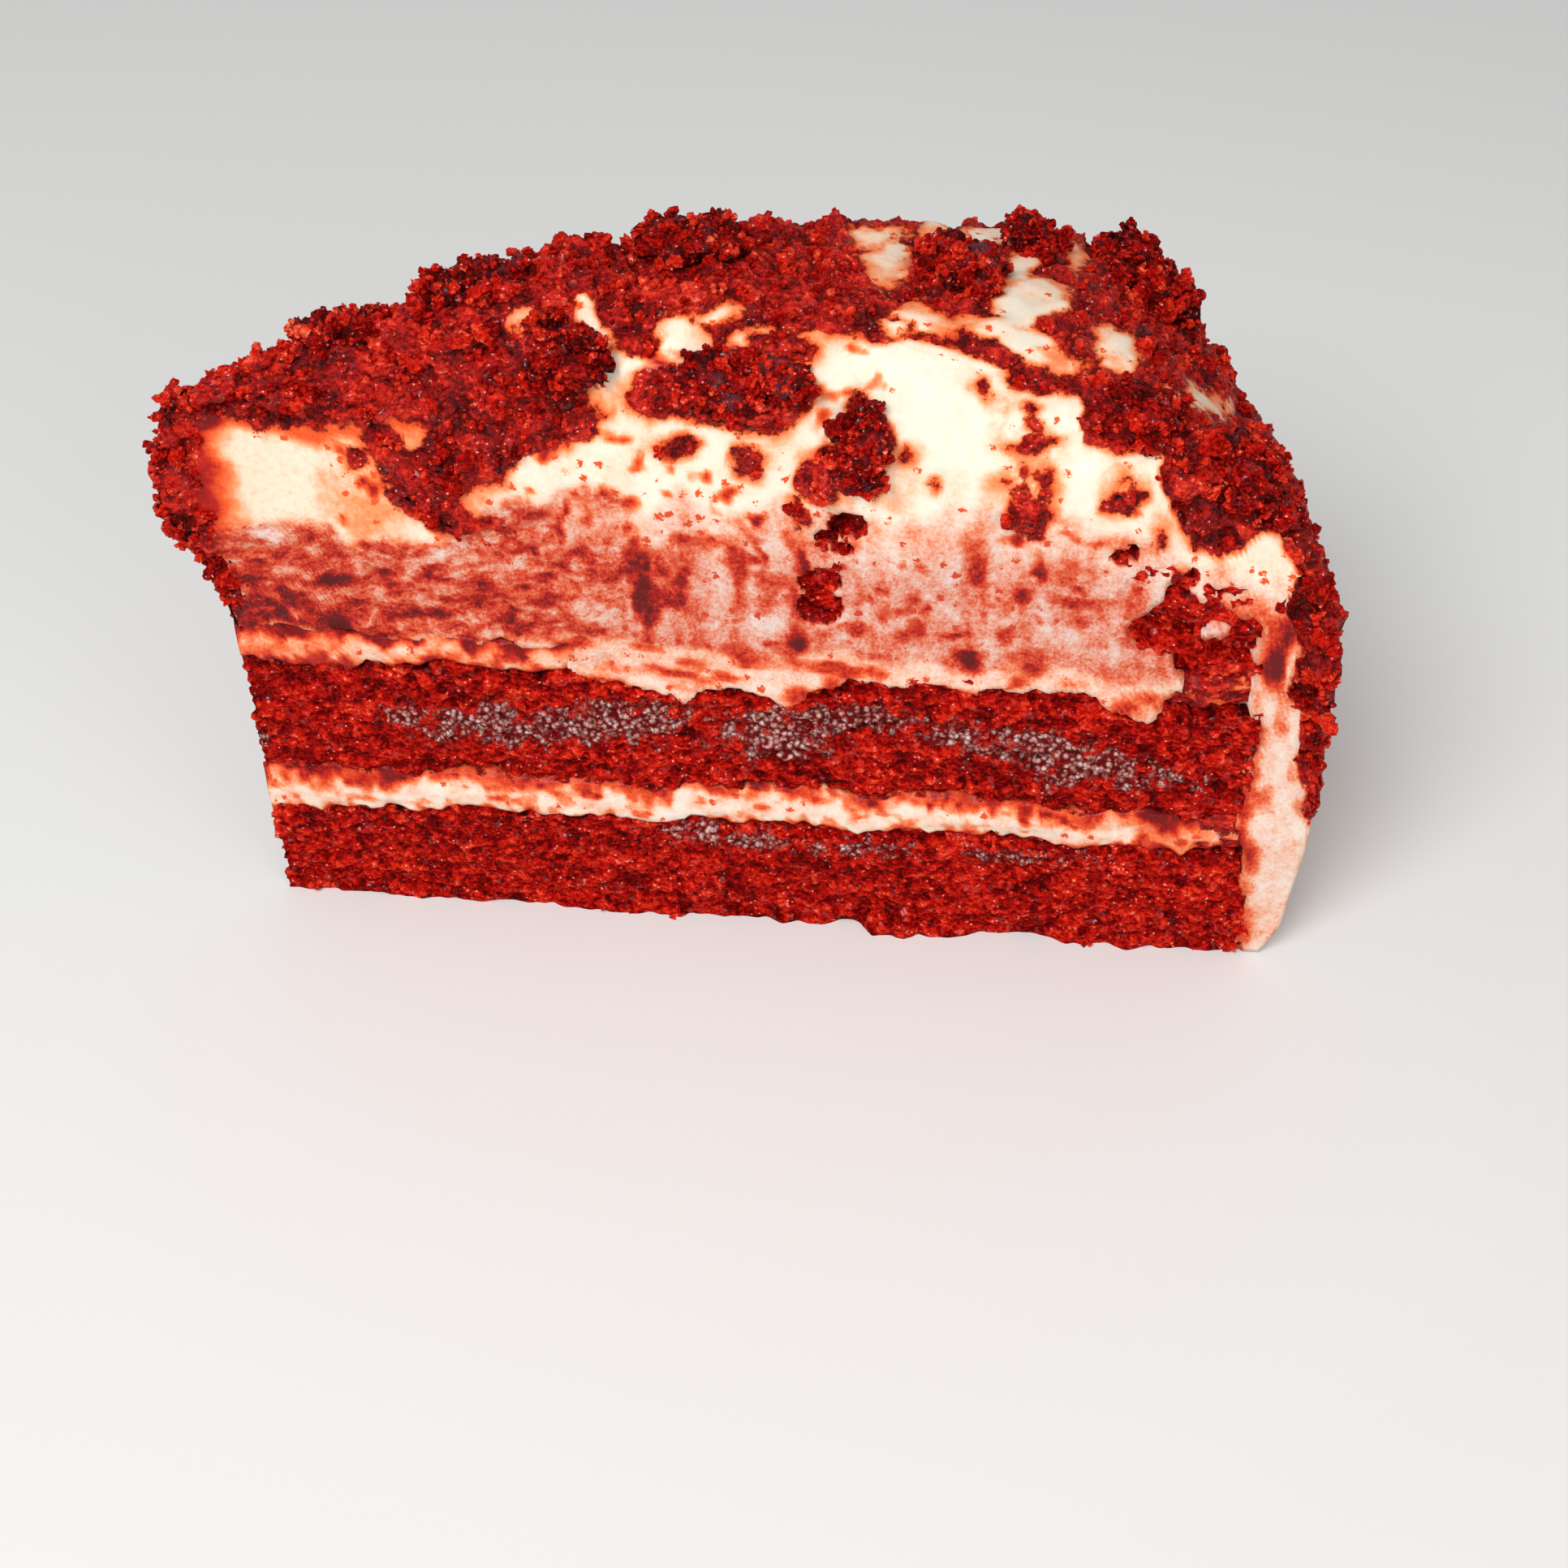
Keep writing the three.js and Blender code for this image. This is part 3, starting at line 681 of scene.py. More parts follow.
# %% The cream's and the frosting's material
def cream_material(name):
    """Cream that is stained by crumbs and smeared by the knife, with crumbs where they cover it."""
    material, tree, shader = new_material(
        name, Specular_IOR_Level=0.2, Coat_Roughness=0.12,
        Subsurface_Weight=0.15, Subsurface_Scale=0.0015, Subsurface_Radius=(1.0, 0.45, 0.25),
    )
    place = in_millimetres(tree)
    pit, smear = attribute(tree, "pit"), attribute(tree, "smear")
    ragged = centred(tree, noise_texture(tree, place, 0.9, 4, 0.7))
    speck = centred(tree, noise_texture(tree, place, 0.35, 2, 0.6))

    # Strokes of the knife: they lean at the left and are blotches elsewhere.
    leaning = along_rows(tree, place, [(0.42, 0, 0.36), (0, 1, 0), (-0.56, 0, 1.4)])
    leaning = noise_texture(tree, leaning, 1.0, 5, 0.72)
    blotchy = noise_texture(tree, place, 4.2, 5, 0.55)
    fibre = add(tree, "ShaderNodeMix", {0: attribute(tree, "lean"), 2: blotchy, 3: leaning}).outputs[0]
    fibre = times(tree, centred(tree, fibre), smear)

    # The stain, from the painted one, painted shade in the pits of bare crumbs, the noises and the
    # strokes.
    stain = times_plus(tree, times(tree, pit, attribute(tree, "bare")), -0.3, attribute(tree, "stain"))
    stain = times_plus(tree, ragged, times_plus(tree, smear, 0.35, 0.4), stain)
    stain = times_plus(tree, times(tree, speck, smear), 0.5, stain)
    strength = times_plus(tree, attribute(tree, "lean"), -0.55, 1.35)
    stain = times_plus(tree, fibre, strength, stain)

    # Red dots on some of the cells, more of them where the cream is spotted.
    dot = calc(tree, "ADD", cells(tree, place, DOT_SIZE), speck)
    dot = remap(tree, dot, 0.36, 0.22, 0, 1, True)
    chosen = times_plus(tree, attribute(tree, "spotted"), 0.55, cell_shade(tree, place, DOT_SIZE))
    dot = times(tree, dot, remap(tree, chosen, 1.0, 1.05, 0, 0.64, True))
    stain = calc(tree, "MAXIMUM", stain, dot)
    stain = times_plus(tree, speck, 0.12, stain, clamp=True)

    # Cream, and crumbs where they cover it.
    cream = blend_colour(tree, smear, ramp(tree, stain, CREAM_COLOURS), ramp(tree, stain, SMEAR_COLOURS))
    # Where crumbs cover the cream, their tone holds painted shade in the pits and painted light on the
    # tops.
    red = red_crumb(tree, remap(tree, pit, -1.0, 1.0, 0.18, 0.78), 0.7)
    cover = times_plus(tree, ragged, 2.2, attribute(tree, "cover"))
    crumbs = remap(tree, cover, -0.1, 0.25, 0, 1, True)
    wet = remap(tree, noise_texture(tree, place, 1.4), 0.6, 0.68, 0.0, 0.5, True)
    film = times(tree, times_plus(tree, speck, smear, fibre), 0.5)
    height = times_plus(tree, grain_height(tree), crumbs, film)
    dress_shader(
        tree, shader,
        Base_Color=blend_colour(tree, crumbs, cream, red),
        Coat_Weight=times(tree, wet, crumbs),
        Roughness=remap(tree, crumbs, 0, 1, 0.38, 0.52),
        Normal=bump(tree, height, 0.3),
    )
    return material


frosting_material = cream_material("crumbed frosting")
filling_material = cream_material("cream filling")
print("materials:", [m.name for m in bpy.data.materials])


# %% [markdown]
# ## Crumb relief
# A torn sponge face is a field of little lumps with deep pits between them. It could be sculpted, but
# the same rule holds over every face, so Geometry Nodes push each point along its normal by two sizes
# of cell pattern and a band of noise. An attribute called "bare" says how strongly, and another keeps
# the height for the colours, which paint shade into the pits and light onto the lumps' tops.

# %% The relief tree
def named(tree, name):
    """A vertex attribute, as Geometry Nodes read it."""
    made = add(tree, "GeometryNodeInputNamedAttribute", {"Name": name}, data_type="FLOAT")
    return next(socket for socket in made.outputs if socket.enabled)


def store_number(tree, geometry, name, value):
    """Keeps one number for each point of a geometry as a named attribute."""
    inputs = {"Geometry": geometry, "Name": name, "Value": value}
    kind = "GeometryNodeStoreNamedAttribute"
    return add(tree, kind, inputs, data_type="FLOAT", domain="POINT").outputs[0]


def end_group(tree, geometry, material, outputs):
    """Makes a geometry real, gives it its material and hands it out of the group."""
    real = add(tree, "GeometryNodeRealizeInstances", {"Geometry": geometry}).outputs[0]
    coated = add(tree, "GeometryNodeSetMaterial", {"Geometry": real, "Material": material})
    feed(tree, outputs[0], coated.outputs[0])


RELIEF_INPUTS = {
    "Geometry": ("Geometry", None),
    "Material": ("Material", None),
    "Lump size": ("Float", 1.6),
    "Lump height": ("Float", 0.5),
    "Grain size": ("Float", 0.7),
    "Grain height": ("Float", 0.25),
    "Pit size": ("Float", 2.4),
    "Pit depth": ("Float", 0.5),
    "Flatten": ("Float", 1.0),
}
GEOMETRY_OUT = ("Geometry", "Geometry")
relief, r_in, r_out = new_group("crumb relief", "GeometryNodeTree", RELIEF_INPUTS, GEOMETRY_OUT)
position = scaled(relief, add(relief, "GeometryNodeInputPosition").outputs[0], 1 / MM)
stretch = add(relief, "ShaderNodeCombineXYZ", {0: 1.0, 1: 1.0, 2: r_in["Flatten"]}).outputs[0]
layered = add(relief, "ShaderNodeVectorMath", {0: position, 1: stretch}, operation="MULTIPLY").outputs[0]
drift = add(relief, "ShaderNodeTexNoise", {"Vector": layered, "Scale": 0.8, "Detail": 2.0}).outputs[1]
layered = add(relief, "ShaderNodeVectorMath", {0: layered, 1: drift}, operation="ADD").outputs[0]


def relief_cells(size):
    """Lumps about `size` millimetres across, from 1 on their tops to -1 between them."""
    inputs = {"Vector": layered, "Scale": calc(relief, "DIVIDE", 1.0, size), "Smoothness": 0.3}
    made = add(relief, "ShaderNodeTexVoronoi", inputs, feature="SMOOTH_F1")
    return remap(relief, made.outputs[0], 0.0, 0.75, 1.0, -1.0)


pit_inputs = {"Vector": layered, "Scale": calc(relief, "DIVIDE", 1.0, r_in["Pit size"])}
pit_inputs.update({"Detail": 3.0, "Roughness": 0.6})
pits = add(relief, "ShaderNodeTexNoise", pit_inputs).outputs[0]
pits = remap(relief, pits, 0.30, 0.52, -1.0, 0.0, True)
height = times(relief, relief_cells(r_in["Lump size"]), r_in["Lump height"])
height = times_plus(relief, relief_cells(r_in["Grain size"]), r_in["Grain height"], height)
height = times_plus(relief, pits, r_in["Pit depth"], height)
push = times(relief, times(relief, height, named(relief, "bare")), MM)
offset = scaled(relief, add(relief, "GeometryNodeInputNormal").outputs[0], push)
# The height, kept for the colours, which turn it into painted shade in pits and painted light on tops.
level = calc(relief, "DIVIDE", height, calc(relief, "ADD", r_in["Lump height"], r_in["Grain height"]))
stored = store_number(relief, r_in["Geometry"], "pit", level)
moved = add(relief, "GeometryNodeSetPosition", {"Geometry": stored, "Offset": offset})
end_group(relief, moved.outputs[0], r_in["Material"], r_out)


def settle(piece, group, values):
    """Runs a Geometry Nodes group on a piece and keeps the result as its plain mesh."""
    modifier = piece.modifiers.new("shape", "NODES")
    modifier.node_group = group
    sockets = {s.name: s.identifier for s in group.interface.items_tree if s.in_out == "INPUT"}
    for socket, value in values.items():
        modifier[sockets[socket]] = value
    bpy.context.view_layer.update()
    evaluated = piece.evaluated_get(bpy.context.evaluated_depsgraph_get())
    mesh = bpy.data.meshes.new_from_object(evaluated)
    piece.modifiers.remove(modifier)
    old = piece.data
    piece.data = mesh
    bpy.data.meshes.remove(old)


def roughen(piece, material, lumps, grains, pits, flatten=1.0):
    """Runs the relief tree on a piece. Lumps, grains and pits are given as (size, height)."""
    values = {"Material": material, "Flatten": flatten}
    values["Lump size"], values["Lump height"] = lumps
    values["Grain size"], values["Grain height"] = grains
    values["Pit size"], values["Pit depth"] = pits
    settle(piece, relief, values)


def finish_piece(piece, slot, *nodes, smooth=True):
    """Keeps the piece in the CAD box, hangs it on the root body and hides the CAD parts it replaces."""
    move_points(piece, points_of(piece))
    piece.data.polygons.foreach_set("use_smooth", [smooth] * len(piece.data.polygons))
    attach(piece, "root")
    if nodes:
        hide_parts(*nodes)
    triangles = sum(len(p.vertices) - 2 for p in piece.data.polygons)
    print(f"{piece.name}: {triangles} triangles")


# %% [markdown]
# ## Where things lie on the slice
# The look of this slice is in its patches: the top is rolled in crumbs, the knife dragged some down
# the front, and cream shows between. They are drawn once, on a flat map of the cut face.
# A point of the rounded shoulder or the top is put on the map along its line to the eye, so one map
# serves the front and the top. The relief, the colours and the loose crumbs all read it.

# %% The map, as (s, height) on the plane of the front cut face
CRUST_EDGE = [
    (-9, 42), (-2, 46), (0.4, 49), (0.9, 66.5), (5, 67.2), (10, 66.3), (14, 65), (17, 66.4),
    (20, 65.5), (22.5, 67.8), (25, 67.4), (27.5, 64.5), (30, 62.3), (33.5, 61.5), (36, 63.6),
    (40, 65.4), (44, 67.5), (46.2, 70.5), (46.8, 76.5), (48.5, 76.2), (50.3, 77), (51.5, 80),
    (54.5, 79.6), (57, 78.2), (60, 79.5), (66, 80.4), (70, 79.6), (75, 80), (79, 79.2), (83, 78),
    (86, 76), (88.5, 74.2), (91.5, 74.2), (92.6, 72), (93.2, 69.3), (96.5, 67.4), (100, 67.8),
    (101.5, 64), (103, 60.5), (105.5, 57), (108, 55.6), (110.5, 58), (113.5, 59.5), (115.2, 56),
    (116.5, 48), (119, 30), (121, 22), (127, 20),
]
# Cream that shows above that edge: (s, height, reach along s, reach up, tilt if any).
BARE_PLACES = [
    (44.2, 75.8, 1.9, 5.4, 6), (45.6, 73.4, 1.9, 3.6), (43.6, 81.6, 0.9, 0.7), (37.4, 79.5, 1.1, 0.6),
    (39.2, 77.4, 0.6, 0.5), (56.3, 81.3, 1.8, 0.6, 15), (73, 87.6, 1.8, 2, 20),
    (71.8, 90.4, 1.9, 0.6, 10), (77.6, 90.9, 1.5, 0.8), (81.6, 90.9, 2.7, 1.1),
    (85.6, 87.2, 1.1, 2.8, -28), (86.4, 83.6, 2.9, 2.3, 20), (90.2, 88.7, 0.8, 1.3, 20),
    (77, 82, 2.4, 0.9, -22), (73.8, 81.2, 1.2, 0.7), (95, 79, 2.2, 1.3, -35), (100.6, 73, 0.8, 1.9, 15),
    (104.4, 74.2, 2.2, 1.1, -38), (83, 81.3, 3.4, 0.8, -10), (52.5, 78.8, 1.9, 1.4),
    (88.2, 78.3, 2.6, 0.7, -10), (79.4, 88.2, 0.9, 1.2),
]
# Crumbs that lie raised on the cream below that edge.
CRUMB_PLACES = [
    (56.6, 71.6, 8.2, 3.4, -2), (50.8, 72.2, 3.1, 3.2), (64, 72.6, 1.6, 1.9), (63.7, 78.2, 2.1, 1.9),
    (52.1, 65.7, 1.6, 1.3), (59, 64.6, 1.5, 2.2, -10), (27.4, 61.6, 5.4, 3, 8), (25, 58.2, 4, 3.3),
    (29, 54.9, 4.8, 1.4, -6), (22.4, 61.2, 2.2, 2.6), (18.4, 62.6, 1.4, 1.3, 40), (21, 64.8, 1.8, 2.4),
    (71.6, 68.6, 1.9, 3.6, 10), (69.2, 64.6, 2.9, 2.2, -20), (66.6, 62.6, 2, 2.2), (70.6, 71.6, 1, 1.2),
    (72.6, 62.3, 0.9, 1.4), (64.4, 58.2, 1.2, 2.2), (75.6, 66.1, 0.8, 0.7), (78.3, 63.3, 0.6, 0.6),
    (82.8, 74.2, 0.9, 0.9), (88.6, 75.4, 3, 1.6, -5), (87.4, 72.2, 1, 0.7), (88, 70.3, 0.7, 1.3, 25),
    (87.9, 68.4, 1.9, 0.8, 10), (87.4, 65.3, 0.7, 0.9), (89.4, 64.1, 0.9, 1.5), (85.2, 63.3, 0.8, 0.6),
    (86.9, 62, 1.1, 1.6), (88, 59.6, 1.9, 2.2), (97.4, 62, 2, 1.3, 28), (98.1, 64.7, 0.9, 0.7),
    (95.4, 61.8, 0.7, 0.8), (101.2, 57.4, 0.6, 1.4), (104.4, 52.6, 1.1, 1.3),
]
# Thin red stains and specks, flush with the cream.
STAIN_PLACES = [
    (45.8, 67, 1.1, 0.8, 30), (44.4, 60, 0.9, 0.8), (47.2, 63.5, 0.5, 0.5), (50.3, 60, 0.6, 0.4),
    (53.8, 63, 0.9, 0.5, -40), (56.7, 60.4, 0.7, 1.3, -30), (51.4, 63.6, 0.4, 0.7),
    (38.2, 63.6, 0.5, 0.9, -30), (36.7, 58.8, 0.5, 0.5), (41, 58.9, 0.9, 0.6, 10), (41.7, 56.6, 0.4, 1),
    (39.2, 57.2, 0.7, 1.3, -25), (38.6, 54.2, 0.5, 1.2), (36.3, 52.4, 0.7, 2.4), (46.6, 58.6, 1.3, 0.9),
    (47.2, 50.4, 1.6, 4.8), (48.2, 46.2, 2, 2.6), (46.2, 55.4, 0.5, 1.6), (59.8, 53.2, 1.1, 3, 15),
    (60.1, 57.6, 0.9, 1.3), (58.8, 51.9, 0.9, 0.9), (15.1, 55.3, 0.5, 0.6), (17.2, 57.6, 0.7, 0.7),
    (18.6, 59.4, 0.8, 0.8), (20, 58.4, 0.7, 1.7), (16.2, 63.8, 0.8, 0.6), (17.7, 56.1, 0.5, 0.5),
    (67.2, 73.3, 1.4, 0.7), (66.4, 70.2, 0.7, 1.3), (69.3, 73.4, 0.7, 0.7), (67.6, 68.2, 0.7, 0.7),
    (72.5, 74.4, 0.7, 1.5), (70.3, 78.2, 0.5, 0.5), (55, 75.8, 1.2, 0.6), (52.8, 77.2, 1, 0.7),
    (58.2, 77.2, 1.2, 0.8), (61, 75.4, 1.2, 0.7), (50.4, 75.6, 1.2, 0.7), (55, 55, 1, 0.6),
    (57, 53.4, 0.7, 0.7), (77, 52.3, 0.7, 0.6, -30), (75, 53.4, 0.4, 0.6), (93.6, 51, 0.8, 0.5, -30),
    (89.4, 53.2, 0.8, 2.4), (89.8, 48.8, 0.5, 1.8, 8), (87.6, 56.9, 1.9, 1), (94.6, 57.4, 2.1, 0.5, -8),
    (85.6, 48.9, 0.5, 0.4), (101.4, 54, 0.4, 0.4), (98.9, 59.9, 0.4, 0.4), (64.3, 53.2, 0.8, 2.2),
    (72.6, 49, 1.2, 0.8, 10), (78, 46.6, 0.6, 0.5), (81.4, 44.2, 1.2, 0.7), (69.9, 44.4, 0.9, 0.5),
    (91.6, 45.8, 0.8, 0.5), (96.6, 46.2, 0.7, 0.5),
]
# Holes: (s, height, reach along s, reach up, tilt, depth).
HOLE_PLACES = [
    (69.4, 57.2, 2.0, 1.7, 15, 2.6), (67.2, 55.7, 1.1, 0.9, 0, 1.8), (68.8, 54.3, 1.2, 0.8, 0, 1.8),
    (66.6, 49.9, 2.3, 1.6, 0, 2.2), (66.6, 46.6, 2.4, 2.2, 0, 1.5), (98, 55.4, 1.5, 0.8, 5, 2.0),
    (98.9, 55.9, 0.6, 0.9, 0, 2.0), (105.2, 53, 0.8, 1.2, 0, 1.6),
]
# The smeared cream's lower edge on the cut face, and the edge of the bare sponge right of it.
FILM_FOOT = [
    (-2, 47), (0.9, 46.5), (1.4, 39.8), (20, 39.6), (38, 39.2), (40.4, 35), (45, 33.8), (50, 34.2),
    (52.6, 33), (54, 34.4), (56, 35), (59, 34.8), (61, 33.6), (64.5, 33), (66, 34.8), (70, 36.4),
    (75, 36.6), (80, 36.8), (85, 37), (90, 36.8), (94, 36.6), (97, 36.2), (98.4, 35), (101, 33.8),
    (102.6, 33), (104, 34), (104.6, 36.4), (105.8, 38.4), (106.4, 44), (106.8, 50.2), (108.5, 50),
    (110.5, 48.6), (112.6, 47.6), (113.4, 46), (113.9, 20), (115.4, 12), (116.4, -2), (127, -2),
]
# Where the film is torn away above that edge.
FILM_TEARS = [(103.4, 46.4, 3.3, 3.2), (104.3, 50.2, 1.3, 2), (105.8, 43, 2, 3)]
# A flap of film beside the tear.
FILM_FLAP = (108, 47, 1.9, 1.6, 20)
# Where the frosted side starts on the cut face, as (height, s).
FILM_SIDE = [(-2, 116.4), (12, 115.4), (20, 113.9), (46, 113.4)]
# Middles of a speckled patch and of a streaked one, where crumbs thin out.
SPECKLED_PATCH = (57, 77.5)
STREAKED_PATCH = (86, 81)
print(len(CRUMB_PLACES), "crumb patches,", len(STAIN_PLACES), "stains,", len(HOLE_PLACES), "holes")


# %% Reading the map
def on_map(points):
    """Where a point of the front or the top lies on the map: along its line to the eye."""
    reach = EYE[1] / (EYE[1] - points[:, 1])
    return EYE[0] + (points[:, 0] - EYE[0]) * reach, EYE[2] + (points[:, 2] - EYE[2]) * reach


def side_of(points):
    """Shares of the back cut face and of the outer side at each point, from 0 to 1."""
    x, y, z = points.T
    behind = ease(1.6, 0.4, from_back(x, y)) * ease(2, 5, x)
    behind = np.maximum(behind, ease(5, 1, from_back(x, y)) * ease(76, 70, z) * ease(6, 12, x))
    outer = ease(OUTER_RADIUS - 6, OUTER_RADIUS - 1.5, np.hypot(x, y)) * ease(0.3, 1.4, y)
    return behind, outer * ease(60, 50, z)


def ragged_map(points, u, v, seed):
    """Map places shifted a little, so that the listed edges come out torn."""
    u = u + 0.55 * noise(points, 2.6, seed) + 0.3 * noise(points, 1.0, seed + 1)
    v = v + 0.55 * noise(points, 2.6, seed + 2) + 0.3 * noise(points, 1.0, seed + 3)
    return u, v


def crumbs_in_front(points):
    """Signed distance in millimetres inside the raised crumbs, read from the map."""
    u, v = ragged_map(points, *on_map(points), 20)
    inside = np.minimum(v - line(CRUST_EDGE, u), -ovals(u, v, BARE_PLACES) - 0.35)
    inside = np.maximum(inside, ovals(u, v, CRUMB_PLACES))
    busy = ease(9, 4, np.abs(u - SPECKLED_PATCH[0])) * ease(3.5, 1, np.abs(v - SPECKLED_PATCH[1]))
    specks = busy * (2.6 * noise(points, 1.7, 31) - 0.6) + (1 - busy) * FAR_OUTSIDE
    inside = np.maximum(inside, specks)
    streaky = ease(5, 0, np.abs(u - STREAKED_PATCH[0])) * ease(4, 0, np.abs(v - STREAKED_PATCH[1])) * 2.2
    return inside - streaky * (0.6 + noise(points, (2.6, 1.2, 1.2), 30))


def crumbs_behind(points):
    """The same on the back cut face, made up in the manner of the front one."""
    r, z = np.hypot(points[:, 0], points[:, 1]), points[:, 2]
    edge = 66 + 4.5 * np.sin(r * 0.21 + 1) + 2.5 * np.sin(r * 0.53)
    tongues = 16 * np.maximum(0, noise(along_cut(points), (7, 7, 30), 41) - 0.35)
    specks = 3.2 * noise(points, (2.4, 2.4, 3.4), 42) - 1.5 - 0.09 * np.abs(z - 58)
    return np.maximum(z - edge + tongues, specks)


def crumbs_outside(points):
    """The same on the outer side: a whitish strip at the front, crumbs that thin out lower down."""
    x, y, z = points.T
    arc = np.arctan2(y, np.maximum(x, 1)) * OUTER_RADIUS
    body = np.stack([arc + 0.5 * z, 0 * arc, z - 0.4 * arc], -1)
    thick = mix(-3.2, 2.2, ease(8, 40, z)) + mix(-2.0, 0, ease(0.5, 2.4, arc + 0.03 * z))
    return thick + 3.0 * noise(body, (6, 6, 8), 51, 2) + 1.5 * noise(points, 1.9, 52, 2)


def cover_at(points):
    """Signed distance inside the raised crumbs, everywhere on the frosting."""
    behind, outer = side_of(points)
    cover = mix(crumbs_in_front(points), crumbs_behind(points), behind)
    cover = mix(cover, crumbs_outside(points), outer * (1 - behind))
    nose = ease(1.4, -0.4, points[:, 0]) * ease(46, 49, points[:, 2])
    return mix(cover, 2.5, nose)


# %% [markdown]
# ## The sponges and the cream between them
# Each layer is a wedge-shaped slab. It could be a cube with a boolean cut, but a cake's cut face needs
# dense, even quads where the crumb shows and almost none where it is hidden. So a function walks
# round the slab's outline, stacks rows between its lower and upper surfaces, and closes the top and
# the bottom with a ladder of long quads from the front face to the back face.

# %% A wedge-shaped slab
SIDE_COLUMNS = 26
GUESS_PLACE = (60.0, 10.0)
GUESS_ROUNDS = 3
# Each slab's surfaces keep this far from the shared boundary, save where the cream reaches past it.
GAP = 0.12
CREAM_OVERLAP = 0.6


def wedge(name, lower, upper, pitch, rows):
    """A slab between two height functions, dense on its two cut faces.

    A row's radius depends on its height and its height on its place, so both are found in rounds.
    """
    count = int((SPONGE_RADIUS - TIP_RADIUS) / pitch) + 1
    outward = np.linspace(0, 1, count)
    reach = np.concatenate([outward, np.ones(SIDE_COLUMNS), outward[::-1]])
    turned = np.linspace(0, 1, SIDE_COLUMNS + 2)[1:-1]
    share = np.concatenate([np.zeros(count), turned, np.ones(count)])
    total = len(share)
    points = []
    for row in range(rows + 1):
        z = upper(*(np.full(total, value) for value in GUESS_PLACE)) * row / rows
        for _ in range(GUESS_ROUNDS):
            radius = mix(TIP_RADIUS, sponge_radius(z), reach)
            x, y = polar(radius, share)
            z = mix(lower(x, y), upper(x, y), row / rows)
        points.append(np.stack([x, y, z], -1))
    faces = []
    ring = np.arange(total)
    for row in range(rows):
        faces += band_faces((row + 1) * total + ring, row * total + ring)
    for first, flip in ((0, 1), (rows * total, -1)):
        front = first + np.arange(count)
        back = first + total - 1 - np.arange(count)
        quads = np.stack([front[:-1], back[:-1], back[1:], front[1:]], 1)
        faces += quads[:, ::flip].tolist()
        faces.append((first + np.arange(count - 1, count + SIDE_COLUMNS + 1))[::-flip].tolist())
    return make_mesh(name, np.concatenate(points), faces)


def boundary(name, x, y):
    """A layer's upper surface. The middle sponge's swells a little near the tip and more further out."""
    rise = 2.4 * band(64, 71, 96, 101, x) + 0.8 * band(12, 20, 38, 42, x)
    place = np.stack([x, y, 0 * x], -1)
    torn = 0.3 * noise(place, 3.1, 55) + 0.28 * noise(place, 1.2, 56)
    return layer_top(name, x, y) + torn + (rise if name == "middle_sponge" else 0)


def top_of(name, overlap=0):
    """A slab's upper surface; near the tip, cream reaches into the sponge by the overlap."""
    return lambda x, y: boundary(name, x, y) - GAP + overlap * ease(22, 10, x)


def bottom_above(name, overlap=0):
    """The lower surface of the slab that lies on the named one."""
    return lambda x, y: boundary(name, x, y) + GAP - overlap * ease(22, 10, x)


def floor_of(x, y):
    return 0 * x


# Each slab's name, the one under it, its overlap near the tip, its columns' width and its rows.
SLABS = [
    ("lower_sponge", None, 0, 0.27, 54),
    ("lower_cream", "lower_sponge", CREAM_OVERLAP, 0.4, 16),
    ("middle_sponge", "lower_cream", 0, 0.27, 54),
    ("upper_cream", "middle_sponge", CREAM_OVERLAP, 0.5, 10),
    ("upper_sponge", "upper_cream", 0, 0.4, 40),
]
slabs = {}
for name, below, overlap, pitch, rows in SLABS:
    lower = bottom_above(below, overlap) if below else floor_of
    slabs[name] = wedge(name, lower, top_of(name, overlap), pitch, rows)
    print(name, len(slabs[name].data.polygons), "faces")


# %% Unevenness of the sponges' cut faces
# Frosty patches, crevices in the middle sponge and torn ditches in the upper one, as ovals like those
# of the map.
FROST_PLACES = [
    (30, 27.5, 8, 3.2, 4), (44, 29.5, 9, 3.4, 8), (62, 29, 8, 4, 6), (71, 31.6, 6, 1.8),
    (92, 27.8, 9, 3.6, -6), (103, 25.8, 5, 1.8), (20, 29, 4, 1.2), (82, 30.5, 5, 1.8),
    (55, 13, 9, 1.4, -4), (90, 12.6, 7, 1.2), (70, 12.4, 5, 1.1),
]
CREVICES = [(72, 30.4, 5, 0.7, 18), (52, 31.4, 7, 0.6, -4), (30, 31.2, 8, 0.6, 3), (90, 28, 6, 0.5, 6)]
DITCHES = [(103, 45.6, 3.4, 1.6, 8), (110, 43.6, 5, 0.9, -14), (104, 42, 4, 0.8, 4)]
FOOT_BULGE = (75, 0.6, 3.6, 2.4)
LOWER_GROOVE = 14.7
MIDDLE_GROOVE = 35.2


def walls_of(points):
    """How much a point belongs to the front face and to the back face, and the way out."""
    x, y, z = points.T
    front, back = ease(0.6, 0.1, np.abs(y)), ease(0.6, 0.1, np.abs(from_back(x, y)))
    outward = np.stack([back * -math.sin(CUT_ANGLE), back * math.cos(CUT_ANGLE) - front, 0 * z], -1)
    tip = ease(5, 1, x)[:, None]
    return front, back, outward * (1 - 0.6 * tip) + tip * np.array([-1.0, 0, 0])


